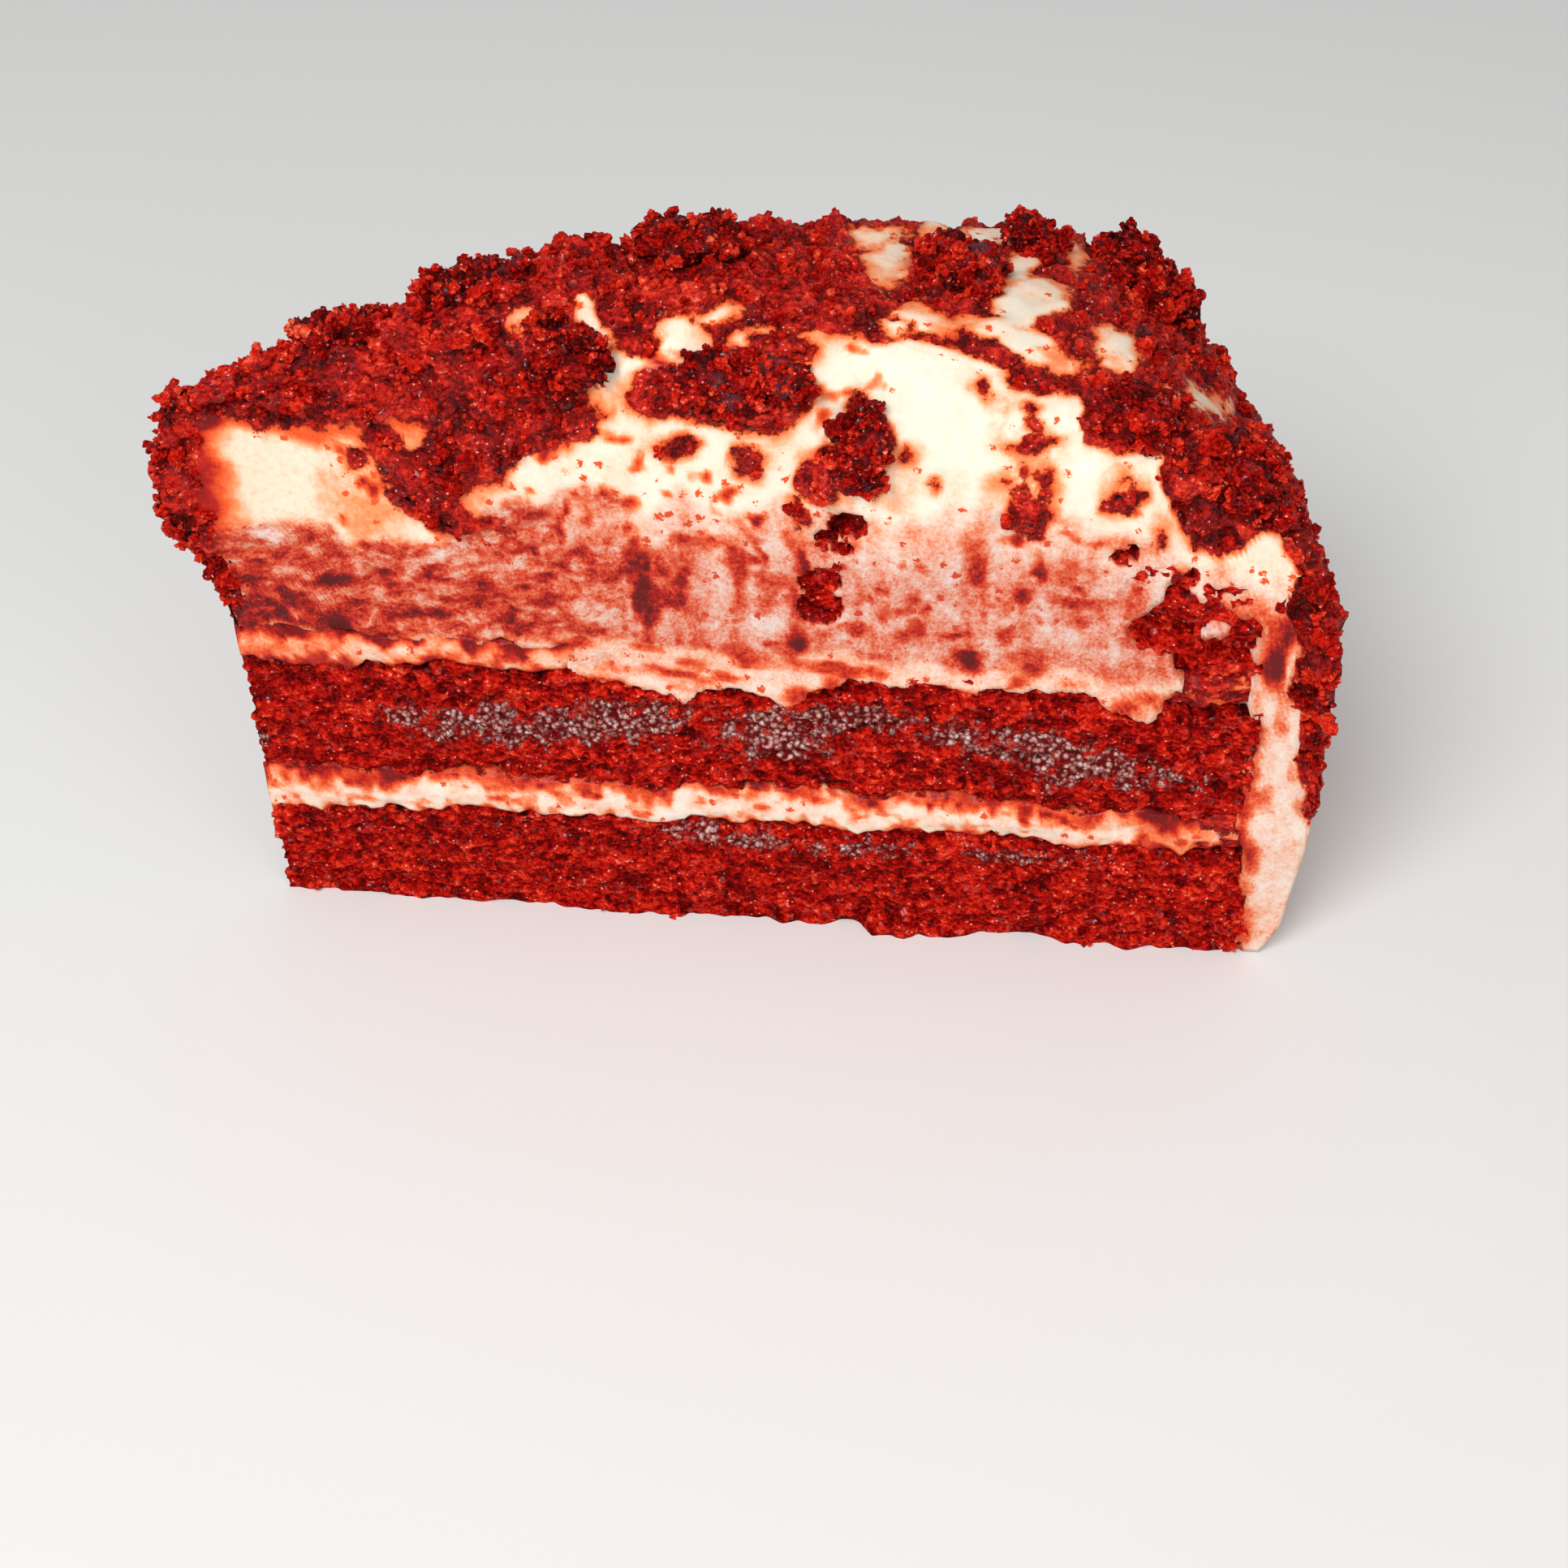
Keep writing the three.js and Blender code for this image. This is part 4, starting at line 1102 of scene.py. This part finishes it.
def dress_sponge(piece, name):
    """Makes a sponge's cut faces uneven and says where frost and open crumb lie on them."""
    points = points_of(piece)
    x, y, z = points.T
    front, back, outward = walls_of(points)
    out = 0.35 * noise(points, (9, 9, 5), 61) + 0.35 * noise(points, (3.2, 3.2, 1.8), 62, 2)
    if name == "lower_sponge":
        out += 0.75 * ease(2.6, 0.4, z) * (noise(points, (4, 4, 2), 63, 3) - 0.1)
        out += 1.9 * unit(oval(x, z, *FOOT_BULGE)) * front
        out -= 0.9 * hill(LOWER_GROOVE, 0.8, z) * ease(40, 50, x) * front
    if name == "middle_sponge":
        groove = hill(MIDDLE_GROOVE, 1.1, z) * ease(18, 24, x)
        out -= 1.1 * groove * (0.6 + noise(points, 5, 64)) * front
        out -= 1.6 * unit(ovals(x, z, CREVICES) / 0.5) * front
    if name == "upper_sponge":
        out -= 2.4 * unit(ovals(x, z, DITCHES) / 0.7) * front + 0.3 + 0.8 * ease(99, 95, x)
    out *= ease(1.0, 4.0, np.hypot(x, y) + 1.5)
    points = points + outward * out[:, None]
    points[:, 2] = np.where(z < 0.05, 0, z + 0.25 * ease(4, 16, x) * noise(points, (2.4, 2.4, 3), 65))
    move_points(piece, points)
    frost = unit(0.55 + ovals(x, z, FROST_PLACES) / 2.2 + 0.35 * noise(points, 2.2, 66, 2))
    rear = unit(0.3 + 0.8 * noise(along_cut(np.stack([x, y, z * 1.6], -1)), 9, 67, 2))
    frost = mix(frost * front, rear * back, ease(0.3, 0.7, back))
    bare = unit(front + back + ease(3, 1, x)) * ease(0.02, 0.8, z)
    set_fields(piece, frost=frost, bare=bare)
    roughen(piece, sponge_material, (1.5, 0.34), (0.62, 0.2), (2.0, 0.55), flatten=1.45)


for level in ("lower", "middle", "upper"):
    sponge = slabs[level + "_sponge"]
    dress_sponge(sponge, sponge.name)
    finish_piece(sponge, "sponge", "sponge_" + level)


# %% The cream between the sponges
def dress_cream(piece, name):
    """Makes a filling bulge, and says where it is stained or crumbed."""
    points = points_of(piece)
    x, y, z = points.T
    front, back, outward = walls_of(points)
    upper = name == "upper_cream"
    low = boundary("middle_sponge" if upper else "lower_sponge", x, y)
    share = unit((z - low) / np.maximum(boundary(name, x, y) - low, 1))
    out = 0.35 * np.sin(math.pi * share) + 0.2 * noise(points, (4, 4, 2), 71, 2) - 0.1
    out -= 1.4 * ease(35, 41, x) * front if upper else 0
    drips = 0.2 * noise(points, (1.2, 1.2, 3), 72, 2) + 0.12 * noise(points, (4, 4, 4), 73)
    stain = (0.34 if upper else 0.12) + 0.6 * ease(0.5, 1.0, share + drips)
    stain += 0.4 * ease(0.2, 0, share + drips)
    stain += 0.35 * ease(0.3, 0.8, noise(points, (2.2, 2.2, 1.4), 74, 2)) + 0.16 * noise(points, 2, 75, 2)
    stain += 0.12 * ease(20, 2, x) + 0.35 * ease(101, 104, x)
    cover = -2.6 + 3.0 * np.abs(2 * share - 1) ** 6 + 0.9 * noise(points, (1.6, 1.6, 1.2), 76, 2)
    ends = (101, 104.5) if upper else (108, 113)
    cover += 3.0 * ease(*ends, x + 1.5 * noise(points, 2, 77))
    move_points(piece, points + outward * (out * ease(0.5, 3, x))[:, None])
    bare = unit(cover + 0.3) * unit(front + back)
    set_fields(piece, stain=unit(stain), cover=cover, bare=bare)
    set_fields(piece, smear=0.35, lean=0.5, spotted=0.45)
    roughen(piece, filling_material, (1.4, 0.25), (0.6, 0.15), (2.0, 0.2))


for level in ("lower", "upper"):
    cream = slabs[level + "_cream"]
    dress_cream(cream, cream.name)
    finish_piece(cream, "cream", "cream_" + level)

# %% [markdown]
# ## The frosting
# The frosting is the slice's coat: a thick cap on top, a wall on the outer side, and a thin film that
# the knife dragged down both cut faces. It is one closed skin here. A polar grid covers the top, a
# curtain hangs from the grid's edge down each face, and an inner wall closes it a few millimetres
# inside. Where the film ends or is torn, its points sink behind the sponge, which then shows. That
# gives torn lips for free, and no hole has to be cut.

# %% The frosting's skin
COLUMNS = 270
SHARES = 104
ROWS = 72
FACE_FOOT = 30.5
TIP_FOOT = 38.9
SIDE_FOOT = 0.4
INNER_DEPTH = 4.0
# Beyond this radius the inner wall draws in, to stay inside the sponge.
INNER_BEND = 105

radii = np.linspace(TIP_RADIUS, OUTER_RADIUS, COLUMNS)
across = np.linspace(0, 1, SHARES)
across = mix(across, across**1.7, 0.75)
grid_r, grid_share = np.meshgrid(radii, across, indexing="ij")
grid_z = top_height(*polar(grid_r, grid_share))
top_points = frosting_point(grid_r, grid_share, grid_z).reshape(-1, 3)

# The grid's edge, once round: along the front, the outer side, the back, and across the tip.
side_r, tip_r = np.full(SHARES - 2, OUTER_RADIUS), np.full(SHARES - 2, TIP_RADIUS)
loop_r = np.concatenate([radii, side_r, radii[::-1], tip_r])
loop_share = np.concatenate([np.zeros(COLUMNS), across[1:-1], np.ones(COLUMNS), across[-2:0:-1]])
number = np.arange(COLUMNS * SHARES).reshape(COLUMNS, SHARES)
rim = np.concatenate([number[:, 0], number[-1, 1:-1], number[::-1, -1], number[0, 1:-1][::-1]])
tip_foot = mix(NOSE_FOOT, TIP_FOOT, ease(1.15, 1.6, loop_r))
foot = mix(mix(tip_foot, FACE_FOOT, ease(8, 16, loop_r)), SIDE_FOOT, ease(86, 116, loop_r))
edge_height = top_height(*polar(loop_r, loop_share))
curtain = [
    frosting_point(loop_r, loop_share, mix(edge_height, foot, row / ROWS)) for row in range(1, ROWS + 1)
]

# The inner wall: in behind the face at the foot, up to the sponge's top, and a lid across.
squeezed = mix(INNER_BEND, SPONGE_RADIUS - 1.5, (loop_r - INNER_BEND) / (OUTER_RADIUS - INNER_BEND))
inner_r = np.where(loop_r > INNER_BEND, squeezed, loop_r + 0.4)
inward = np.minimum(INNER_DEPTH, 0.4 * inner_r * CUT_ANGLE)
inner_x, inner_y = polar(inner_r, loop_share)
inner_y = np.maximum(inner_y, inward)
backward = np.maximum(0, inward - from_back(inner_x, inner_y))
inner_x, inner_y = inner_x + backward * math.sin(CUT_ANGLE), inner_y - backward * math.cos(CUT_ANGLE)
inner_low = np.stack([inner_x, inner_y, foot + 0.2], -1)
inner_top = np.stack([inner_x, inner_y, layer_top("upper_sponge", inner_x, inner_y) + 0.2], -1)

skin_points = np.concatenate([top_points, *curtain, inner_low, mix(inner_low, inner_top, 0.5), inner_top])
OUTSIDE = len(top_points) + ROWS * len(loop_r)
rings = [rim] + [len(top_points) + row * len(loop_r) + np.arange(len(loop_r)) for row in range(ROWS + 3)]
faces = grid_faces(COLUMNS, SHARES)
for upper, lower in zip(rings[:-1], rings[1:]):
    faces += band_faces(upper, lower)
lid = rings[-1]
front_lid = lid[:COLUMNS]
back_lid = lid[COLUMNS + SHARES - 2 : 2 * COLUMNS + SHARES - 2][::-1]
faces += np.stack([front_lid[:-1], front_lid[1:], back_lid[1:], back_lid[:-1]], 1).tolist()
faces.append(lid[COLUMNS - 1 : COLUMNS + SHARES - 1].tolist())
faces.append([*lid[2 * COLUMNS + SHARES - 3 :].tolist(), int(lid[0])])
frosting = make_mesh("frosting_coat", skin_points, faces)
skin = bmesh.new()
skin.from_mesh(frosting.data)
bmesh.ops.recalc_face_normals(skin, faces=skin.faces)
print("frosting skin:", len(skin.faces), "faces, open edges:", sum(e.is_boundary for e in skin.edges))
skin.to_mesh(frosting.data)
skin.free()


# %% The frosting's slumps, drags and holes
# The film's signed distance where its edge is far away.
FILM_INSIDE = 6
# How far its edge stands out.
FILM_LIP = 0.35


def film_in_front(points):
    """Signed distance inside the smeared film on the front cut face."""
    u, v = ragged_map(points, points[:, 0], points[:, 2], 80)
    inside = np.minimum(np.minimum(v - line(FILM_FOOT, u), FILM_INSIDE), -ovals(u, v, FILM_TEARS))
    return np.maximum(inside, oval(u, v, *FILM_FLAP))


def film_behind(points):
    """The same for the back cut face, made up in the same manner."""
    along, z = along_cut(points), points[:, 2]
    foot = 37.5 + 2.2 * noise(along, (11, 11, 40), 81) + 1.2 * noise(along, (3, 3, 30), 82)
    gap = 2.6 * noise(along, (8, 8, 9), 83) - 2.2 + 0.09 * np.clip(56 - z, 0, 20) - 5 * ease(56, 60, z)
    return np.minimum(z - foot, -gap) + 0.5 * noise(points, 1.4, 84)


def shape_frosting(piece):
    """Moves the skin's points and returns what the colours need: cover, holes and the two walls."""
    points = points_of(piece)
    normals = vertex_vectors(piece, "normal")
    x, y, z = points.T
    r = np.hypot(x, y)
    outside = np.arange(len(points)) < OUTSIDE
    cover = cover_at(points)
    wall_front = ease(1.2, 0.3, y) * outside
    wall_back = ease(1.2, 0.3, from_back(x, y)) * ease(OUTER_RADIUS, OUTER_RADIUS - 1.5, r)
    wall_back = wall_back * ease(3, 5, x) * outside
    walls = np.maximum(wall_front, wall_back)
    drags = 0.12 * noise(points, (1.5, 1.5, 22), 87) + 0.06 * noise(points, (0.9, 0.9, 14), 88)
    drags *= ease(62, 54, z) * ease(113, 109, r)
    out = 0.45 * noise(points, 9, 85) + 0.18 * noise(points, 3, 86)
    out = mix(out, 0.25 * noise(points, (5, 5, 9), 89) + drags, walls)
    heap = mix(0.75, -0.5, ease(1.5, 6, cover)) + 0.95 * noise(points, 4.2, 90, 2)
    out += ease(-0.4, 1.2, cover) * heap
    u, v = on_map(points)
    holes = np.zeros(len(points))
    for *where, depth in HOLE_PLACES:
        holes = np.maximum(holes, depth * unit(oval(u, v, *where) / 0.55))
    holes *= ease(6, 3, y)
    film = np.where(wall_back > 0.01, film_behind(points), FILM_INSIDE)
    film = np.where(wall_front > 0.01, film_in_front(points), film)
    out += FILM_LIP * hill(0.9, 1, film) * (film < 5) * walls - holes
    points = points + normals * (out * outside * np.where(z < 0.9, 0.2, 1))[:, None]

    # Where the film ends, the skin sinks in behind the sponge.
    deep = np.clip(0.3 * r * math.sin(CUT_ANGLE) - 0.2, 0.1, 3.2) * mix(1, 0.75, ease(110, 112, r))
    sunk = ease(0.25, -0.35, film)
    points[:, 1] = mix(points[:, 1], deep, sunk * wall_front)
    points[:, 0] += sunk * wall_back * deep * math.sin(CUT_ANGLE)
    points[:, 1] -= sunk * wall_back * deep * math.cos(CUT_ANGLE)
    move_points(piece, points)
    return cover, holes, wall_front, wall_back


cover, holes, wall_front, wall_back = shape_frosting(frosting)


# %% The frosting's colours
def smeared_stain(points, along, left, drags, low):
    """How deep the red is in the smeared film, which is streaked at the left and blotched at the right."""
    x, _, z = points.T
    slanted = np.stack([x + 0.9 * z, 0 * x, z - 0.35 * x], -1)
    slant = noise(slanted, (4.2, 4, 1.5), 94, 3)
    slant = 0.65 * slant + 0.5 * noise(slanted, (2.2, 2, 0.9), 107, 2)
    blots = noise(along, (3.2, 3, 2.6), 95, 2)
    stain_left = 0.61 + 0.5 * slant + 0.4 * ease(48, 42, z + 0.12 * x) * ease(24, 12, x)
    stain_left -= 0.14 * ease(46, 53, z)
    stain_right = 0.26 + 0.3 * np.maximum(0, drags) + 0.45 * ease(0.1, 0.9, blots) + 0.2 * ease(45, 39, z)
    stain_low = 0.2 + 0.55 * ease(-0.1, 0.9, noise(along, (4, 3, 1.6), 97, 2))
    return mix(mix(stain_right, stain_left, left), stain_low, low)


def clean_stain(points, u, v, along, strip):
    """The warm tints of the clean cream, and those of the strip on the outer side."""
    r, z = np.hypot(points[:, 0], points[:, 1]), points[:, 2]
    clean = 0.03 + 0.12 * ease(0.2, 0.9, noise(points, 3.5, 98))
    clean += 0.13 * ease(34, 22, u)
    clean += 0.7 * ease(6, 1.5, u + 1.7 * noise(points, 3, 99, 2)) * ease(50, 53, z) * ease(68, 66, v)
    clean += 0.3 * band(18, 21, 28, 32, u) * ease(60, 63, v)
    clean += 0.3 * band(96, 99, 105, 108, u) * ease(39, 36, v)
    clean += 0.16 * band(12, 19, 20, 24, u) * band(50, 54, 60, 66, v)
    clean += 0.45 * ease(1.6, 0, np.abs(v - line(CRUST_EDGE, u)) - 0.6) * ease(30, 16, u)
    clean += strip * band(37, 41, 48, 52, z) * (0.4 + 0.6 * noise(along, (1.6, 2, 4), 104, 2))
    beside_sponge = r - line(FILM_SIDE, z) + 1.2 * noise(points, 2.2, 102, 2)
    beside_sponge = ease(2.6, 0, beside_sponge) * ease(46, 40, z)
    blushes = ease(0.25, 0.9, noise(points, (2.2, 2.2, 3.4), 100, 2))
    return clean + strip * (0.06 + 0.4 * blushes + 0.42 * beside_sponge)


def spotted_places(u, v):
    """Cream between the crumb patches, where small red dots lie."""
    middle = band(34, 38, 62, 68, u) * band(54, 58, 65, 69, v)
    left = band(13, 16, 21, 24, u) * band(52, 54, 63, 66, v)
    return np.maximum(np.maximum(middle, left), ease(106, 108, u) * ease(50, 52, v))


def paint_frosting(piece):
    """Stores the fields that the frosting's material, its relief and the loose crumbs read."""
    points = points_of(piece)
    x, _, z = points.T
    u, v = on_map(points)
    along = along_cut(points)
    strip = np.maximum(side_of(points)[1], ease(112.5, 114, along[:, 0]) * ease(52, 48, z))
    left = ease(50, 36, u + 5 * noise(points, 5, 105)) * wall_front
    low = ease(41.2, 39.4, z + 0.8 * noise(points, 3, 92))
    drags = noise(along, (2.0, 2, 12), 93, 2)

    # The knife's smear, up to a ragged edge, over the clean cream.
    edge_of_smear = 59.5 + 1.2 * noise(along, (4, 4, 30), 96) - 6.5 * ease(36, 24, u) + 0.8 * drags
    edge_of_smear -= 7 * ease(100, 107, u)
    deeper = np.maximum(ease(0, 9, edge_of_smear - z), left)
    smear = ease(1.2, -1.2, z - edge_of_smear) * mix(0.5, 1, deeper) * np.maximum(wall_front, wall_back)
    smear *= 1 - strip
    smeared = smeared_stain(points, along, left, drags, low)
    stain = mix(clean_stain(points, u, v, along, strip), smeared, smear)

    # Halos round the crumbs, drawn stains, the flap and the holes.
    spread = 0.55 + 1.2 * ease(-0.2, 0.9, noise(points, 3.0, 103))
    stain = np.maximum(stain, 0.6 * np.exp(np.minimum(cover, 0) / spread) + 0.3 * ease(0, 0.6, cover))
    stains = ovals(*ragged_map(points, u, v, 91), STAIN_PLACES)
    torn_stains = stains + 0.4 * noise(points, 1.0, 101)
    stain = np.maximum(stain, 0.45 * ease(-0.5, 0.15, torn_stains) + 0.42 * ease(0, 0.9, torn_stains))
    flap = ease(-0.3, 0.4, oval(u, v, *FILM_FLAP))
    stain = mix(stain, 0.3 + 0.15 * noise(points, 0.9, 106), flap)
    stain = unit(np.where(holes > 0.2, 1, stain))
    film = unit(smear * (1 - 0.45 * low) + 0.6 * strip)
    speckled = np.maximum(0.85 * ease(-2.4, -0.3, cover), 0.8 * spotted_places(u, v))
    spotted = np.maximum(speckled, 0.55 * smear) * (z > 1)
    set_fields(piece, stain=stain, smear=film, lean=left, spotted=spotted)

    # Crumbs also line the holes and coat the lower part of the tip.
    tip = ease(2.4, 1.4, x) * ease(51, 48, z)
    crumbed = np.where((holes > 0.15) | (tip > 0.5), 1.5, FAR_OUTSIDE)

    # The relief breaks up the crumbs and the holes, and faintly the stains and the smear at the left.
    bare = np.maximum(unit(cover / 0.9 + 0.35), 0.25 * ease(0, 0.8, stains))
    bare = np.maximum(np.maximum(bare, unit(holes)), 0.3 * smear * left)
    buried = np.arange(len(points)) >= OUTSIDE
    bare = np.where(buried | (z < 0.8), 0, bare)
    set_fields(piece, cover=np.maximum(cover, crumbed), bare=bare)


paint_frosting(frosting)
roughen(frosting, frosting_material, (2.1, 0.55), (0.85, 0.3), (3.4, 1.5))
finish_piece(frosting, "crumbed_frosting", "frosting")

# %% [markdown]
# ## The clumps
# Damp crumbs stick together in dark lumps. Each lump's solid already has the right place and size, so
# a copy of it is remeshed finely and the same relief tree breaks it up.

# %% Clumps
CLUMP_VOXEL = 0.24
USUAL_PLUM = 0.25
USUAL_SHRINK = 0.2
# How plum-coloured a lump is, where that isn't usual.
PLUM = {"clump_top": 1.0, "clump_left_crest": 0.9, "clump_front_dark": 0.9, "clump_shoulder_right": 0.5}
# How many millimetres a lump is drawn in beyond its noise, where that isn't usual.
SHRINK = {
    "clump_drip": 0.5, "clump_front_dark": 0.3, "clump_crest": 0.4,
    "clump_back_corner": 0.8, "clump_back_ridge": 0.5,
}
# The share of its height that a lump keeps above its lowest point.
SQUASH = {"clump_tip_ledge": 0.5, "clump_back_ridge": 0.85, "clump_left_crest": 0.9}


def dress_clump(node):
    """A finer copy of a lump's solid, remeshed, drawn in and broken up by the relief."""
    piece = bpy.data.objects.new(node.replace("clump", "lump"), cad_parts[node].data.copy())
    bpy.context.scene.collection.objects.link(piece)
    shell = bmesh.new()
    shell.from_mesh(piece.data)
    bmesh.ops.remove_doubles(shell, verts=shell.verts, dist=0.01 * MM)
    shell.to_mesh(piece.data)
    shell.free()
    remesh = piece.modifiers.new("even mesh", "REMESH")
    remesh.mode = "VOXEL"
    remesh.voxel_size = CLUMP_VOXEL * MM
    bpy.context.view_layer.update()
    mesh = bpy.data.meshes.new_from_object(piece.evaluated_get(bpy.context.evaluated_depsgraph_get()))
    piece.modifiers.remove(remesh)
    piece.data = mesh
    mesh.materials.clear()
    points, normals = points_of(piece), vertex_vectors(piece, "normal")
    swell = 0.6 * noise(points, 3.4, 110) + 0.3 * noise(points, 1.6, 111) - 0.4
    swell -= SHRINK.get(node, USUAL_SHRINK)
    points = points + normals * swell[:, None]
    points[:, 2] = mix(points[:, 2].min(), points[:, 2], SQUASH.get(node, 1))
    move_points(piece, points)
    set_fields(piece, bare=1, plum=PLUM.get(node, USUAL_PLUM))
    roughen(piece, clump_material, (1.7, 0.3), (0.6, 0.2), (2.2, 1.1))
    finish_piece(piece, "crumb_clump", node)
    return piece


clumps = [dress_clump(node) for node in sorted(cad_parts) if node.startswith("clump_")]

# %% [markdown]
# ## Loose crumbs
# Thousands of crumbs stand on the crust and break its outline. Each kind is one piece: Geometry Nodes
# scatter points over the dressed pieces where an attribute says that crumbs lie, put one of a few
# small lumps on each point with its own turn and size, and store a shade for the material. A lump has
# only 20 to 240 faces, because there are so many of them.

# %% Small lumps to scatter
LUMP_RADIUS = 0.5
LUMP_KINDS = 5
LARGEST_SHIFT = 0.4


def crumb_lump(name, subdivisions, seed, grains):
    """A rough lump about one millimetre across, of one or more grains stuck together."""
    rng = np.random.default_rng(seed)
    mesh = bmesh.new()
    for grain in range(grains):
        made = bmesh.ops.create_icosphere(mesh, subdivisions=subdivisions, radius=LUMP_RADIUS * MM)
        size = 1.0 if grains == 1 else rng.uniform(0.5, 0.8)
        shift = np.zeros(3) if grain == 0 else rng.normal(0, 0.28, 3)
        shift *= min(1, LARGEST_SHIFT / max(np.linalg.norm(shift), 0.01))
        squash = rng.uniform(0.65, 1.15, 3)
        for vert in made["verts"]:
            away = np.array(vert.co) * size * squash * rng.uniform(0.5, 1.35)
            vert.co = Vector(away + shift * MM)
    data = bpy.data.meshes.new(name)
    mesh.to_mesh(data)
    mesh.free()
    return bpy.data.objects.new(name, data)


def lump_collection(name, subdivisions, first_seed, grains):
    collection = bpy.data.collections.new(name)
    for kind in range(LUMP_KINDS):
        collection.objects.link(crumb_lump(f"{name}_{kind}", subdivisions, first_seed + kind, grains))
    return collection


# %% The scatter tree
SCATTER_INPUTS = {
    "Geometry": ("Geometry", None),
    "Material": ("Material", None),
    "Crumbs": ("Collection", None),
    "Per square metre": ("Float", 1e5),
    "Smallest": ("Float", 0.6),
    "Largest": ("Float", 1.2),
    "Sink": ("Float", 0.2),
    "Seed": ("Int", 1),
}
scatter, s_in, s_out = new_group("crumb scatter", "GeometryNodeTree", SCATTER_INPUTS, GEOMETRY_OUT)
density = times(scatter, named(scatter, "strewn"), s_in["Per square metre"])
spread = add(
    scatter, "GeometryNodeDistributePointsOnFaces",
    {"Mesh": s_in["Geometry"], "Density": density, "Seed": s_in["Seed"]}, distribute_method="RANDOM",
)
sizes = {2: s_in["Smallest"], 3: s_in["Largest"], "Seed": 5}
size = add(scatter, "FunctionNodeRandomValue", sizes, data_type="FLOAT")
turns = {0: (0, 0, 0), 1: (6.3, 6.3, 6.3), "Seed": 6}
turn = add(scatter, "FunctionNodeRandomValue", turns, data_type="FLOAT_VECTOR")
shade = add(scatter, "FunctionNodeRandomValue", {2: 0.0, 3: 1.0, "Seed": 7}, data_type="FLOAT")
shaded = store_number(scatter, spread.outputs[0], "shade", shade.outputs[1])
down = scaled(scatter, spread.outputs[1], times(scatter, s_in["Sink"], -MM))
lowered = add(scatter, "GeometryNodeSetPosition", {"Geometry": shaded, "Offset": down})
kinds = add(scatter, "GeometryNodeCollectionInfo", {"Collection": s_in["Crumbs"], 1: True, 2: True})
placed = add(
    scatter, "GeometryNodeInstanceOnPoints",
    {
        "Points": lowered.outputs[0], "Instance": kinds.outputs[0], "Pick Instance": True,
        "Rotation": turn.outputs[0], "Scale": size.outputs[1],
    },
)
end_group(scatter, placed.outputs[0], s_in["Material"], s_out)


# %% Strewing them
def strewn_on(source):
    """Where loose crumbs lie: on the crust and the clumps, and a few on the sponge's edges."""
    points = points_of(source)
    x, _, z = points.T
    if source == frosting:
        inside = np.arange(len(points)) < OUTSIDE
        return ease(0.1, 1.2, field_of(source, "cover")) * inside * (z > 0.6)
    if source in clumps:
        return np.ones(len(points))
    front, back, _ = walls_of(points)
    return unit(front + back) * (ease(3.2, 0.8, z) + 0.25 * ease(4, 1, x)) * (z > 0.3) * 0.7


def one_ground(sources):
    """Several pieces' triangles and their densities as one mesh, to scatter over."""
    points, triangles, density, first = [], [], [], 0
    for source in sources:
        mesh = source.data
        mesh.calc_loop_triangles()
        corners = np.empty(len(mesh.loop_triangles) * 3, np.int32)
        mesh.loop_triangles.foreach_get("vertices", corners)
        places = points_of(source)
        points.append(places)
        triangles.append(corners.reshape(-1, 3) + first)
        density.append(strewn_on(source))
        first += len(places)
    density, triangles = np.concatenate(density), np.concatenate(triangles)
    triangles = triangles[density[triangles].max(1) > 0]
    ground = make_mesh("ground", np.concatenate(points), triangles.tolist())
    set_fields(ground, strewn=density)
    return ground


def strew(name, sources, kinds, amount, sizes, sink, seed):
    """One piece of loose crumbs over several dressed pieces, so many to the square metre."""
    piece = one_ground(sources)
    piece.name = name
    values = {"Material": crumb_material, "Crumbs": kinds, "Per square metre": amount}
    values.update({"Smallest": sizes[0], "Largest": sizes[1], "Sink": sink, "Seed": seed})
    settle(piece, scatter, values)
    finish_piece(piece, "crumbed_frosting", smooth=False)


fine = lump_collection("grain", 1, 200, 1)
medium = lump_collection("crumb", 1, 300, 4)
coarse = lump_collection("crumble", 2, 400, 3)
everywhere = [frosting, *clumps, slabs["lower_sponge"]]
strew("crumbs_fine", everywhere, fine, 6e5, (0.35, 0.8), 0.05, 1)
strew("crumbs_medium", everywhere, medium, 1.65e5, (0.8, 1.75), 0.05, 2)
strew("crumbs_coarse", [frosting, *clumps], coarse, 4.5e4, (1.4, 2.8), 0.25, 3)

# %% The floor
FLOOR_SIZE = 3.0
floor_mesh = bpy.data.meshes.new("floor")
half = FLOOR_SIZE / 2
corners = [(-half, -half, 0), (half, -half, 0), (half, half, 0), (-half, half, 0)]
floor_mesh.from_pydata(corners, [], [(0, 1, 2, 3)])
floor = bpy.data.objects.new("floor", floor_mesh)
bpy.context.scene.collection.objects.link(floor)
floor_material = new_material("pale floor", Roughness=0.6, Base_Color=(0.8, 0.8, 0.79, 1))[0]
floor.data.materials.append(floor_material)
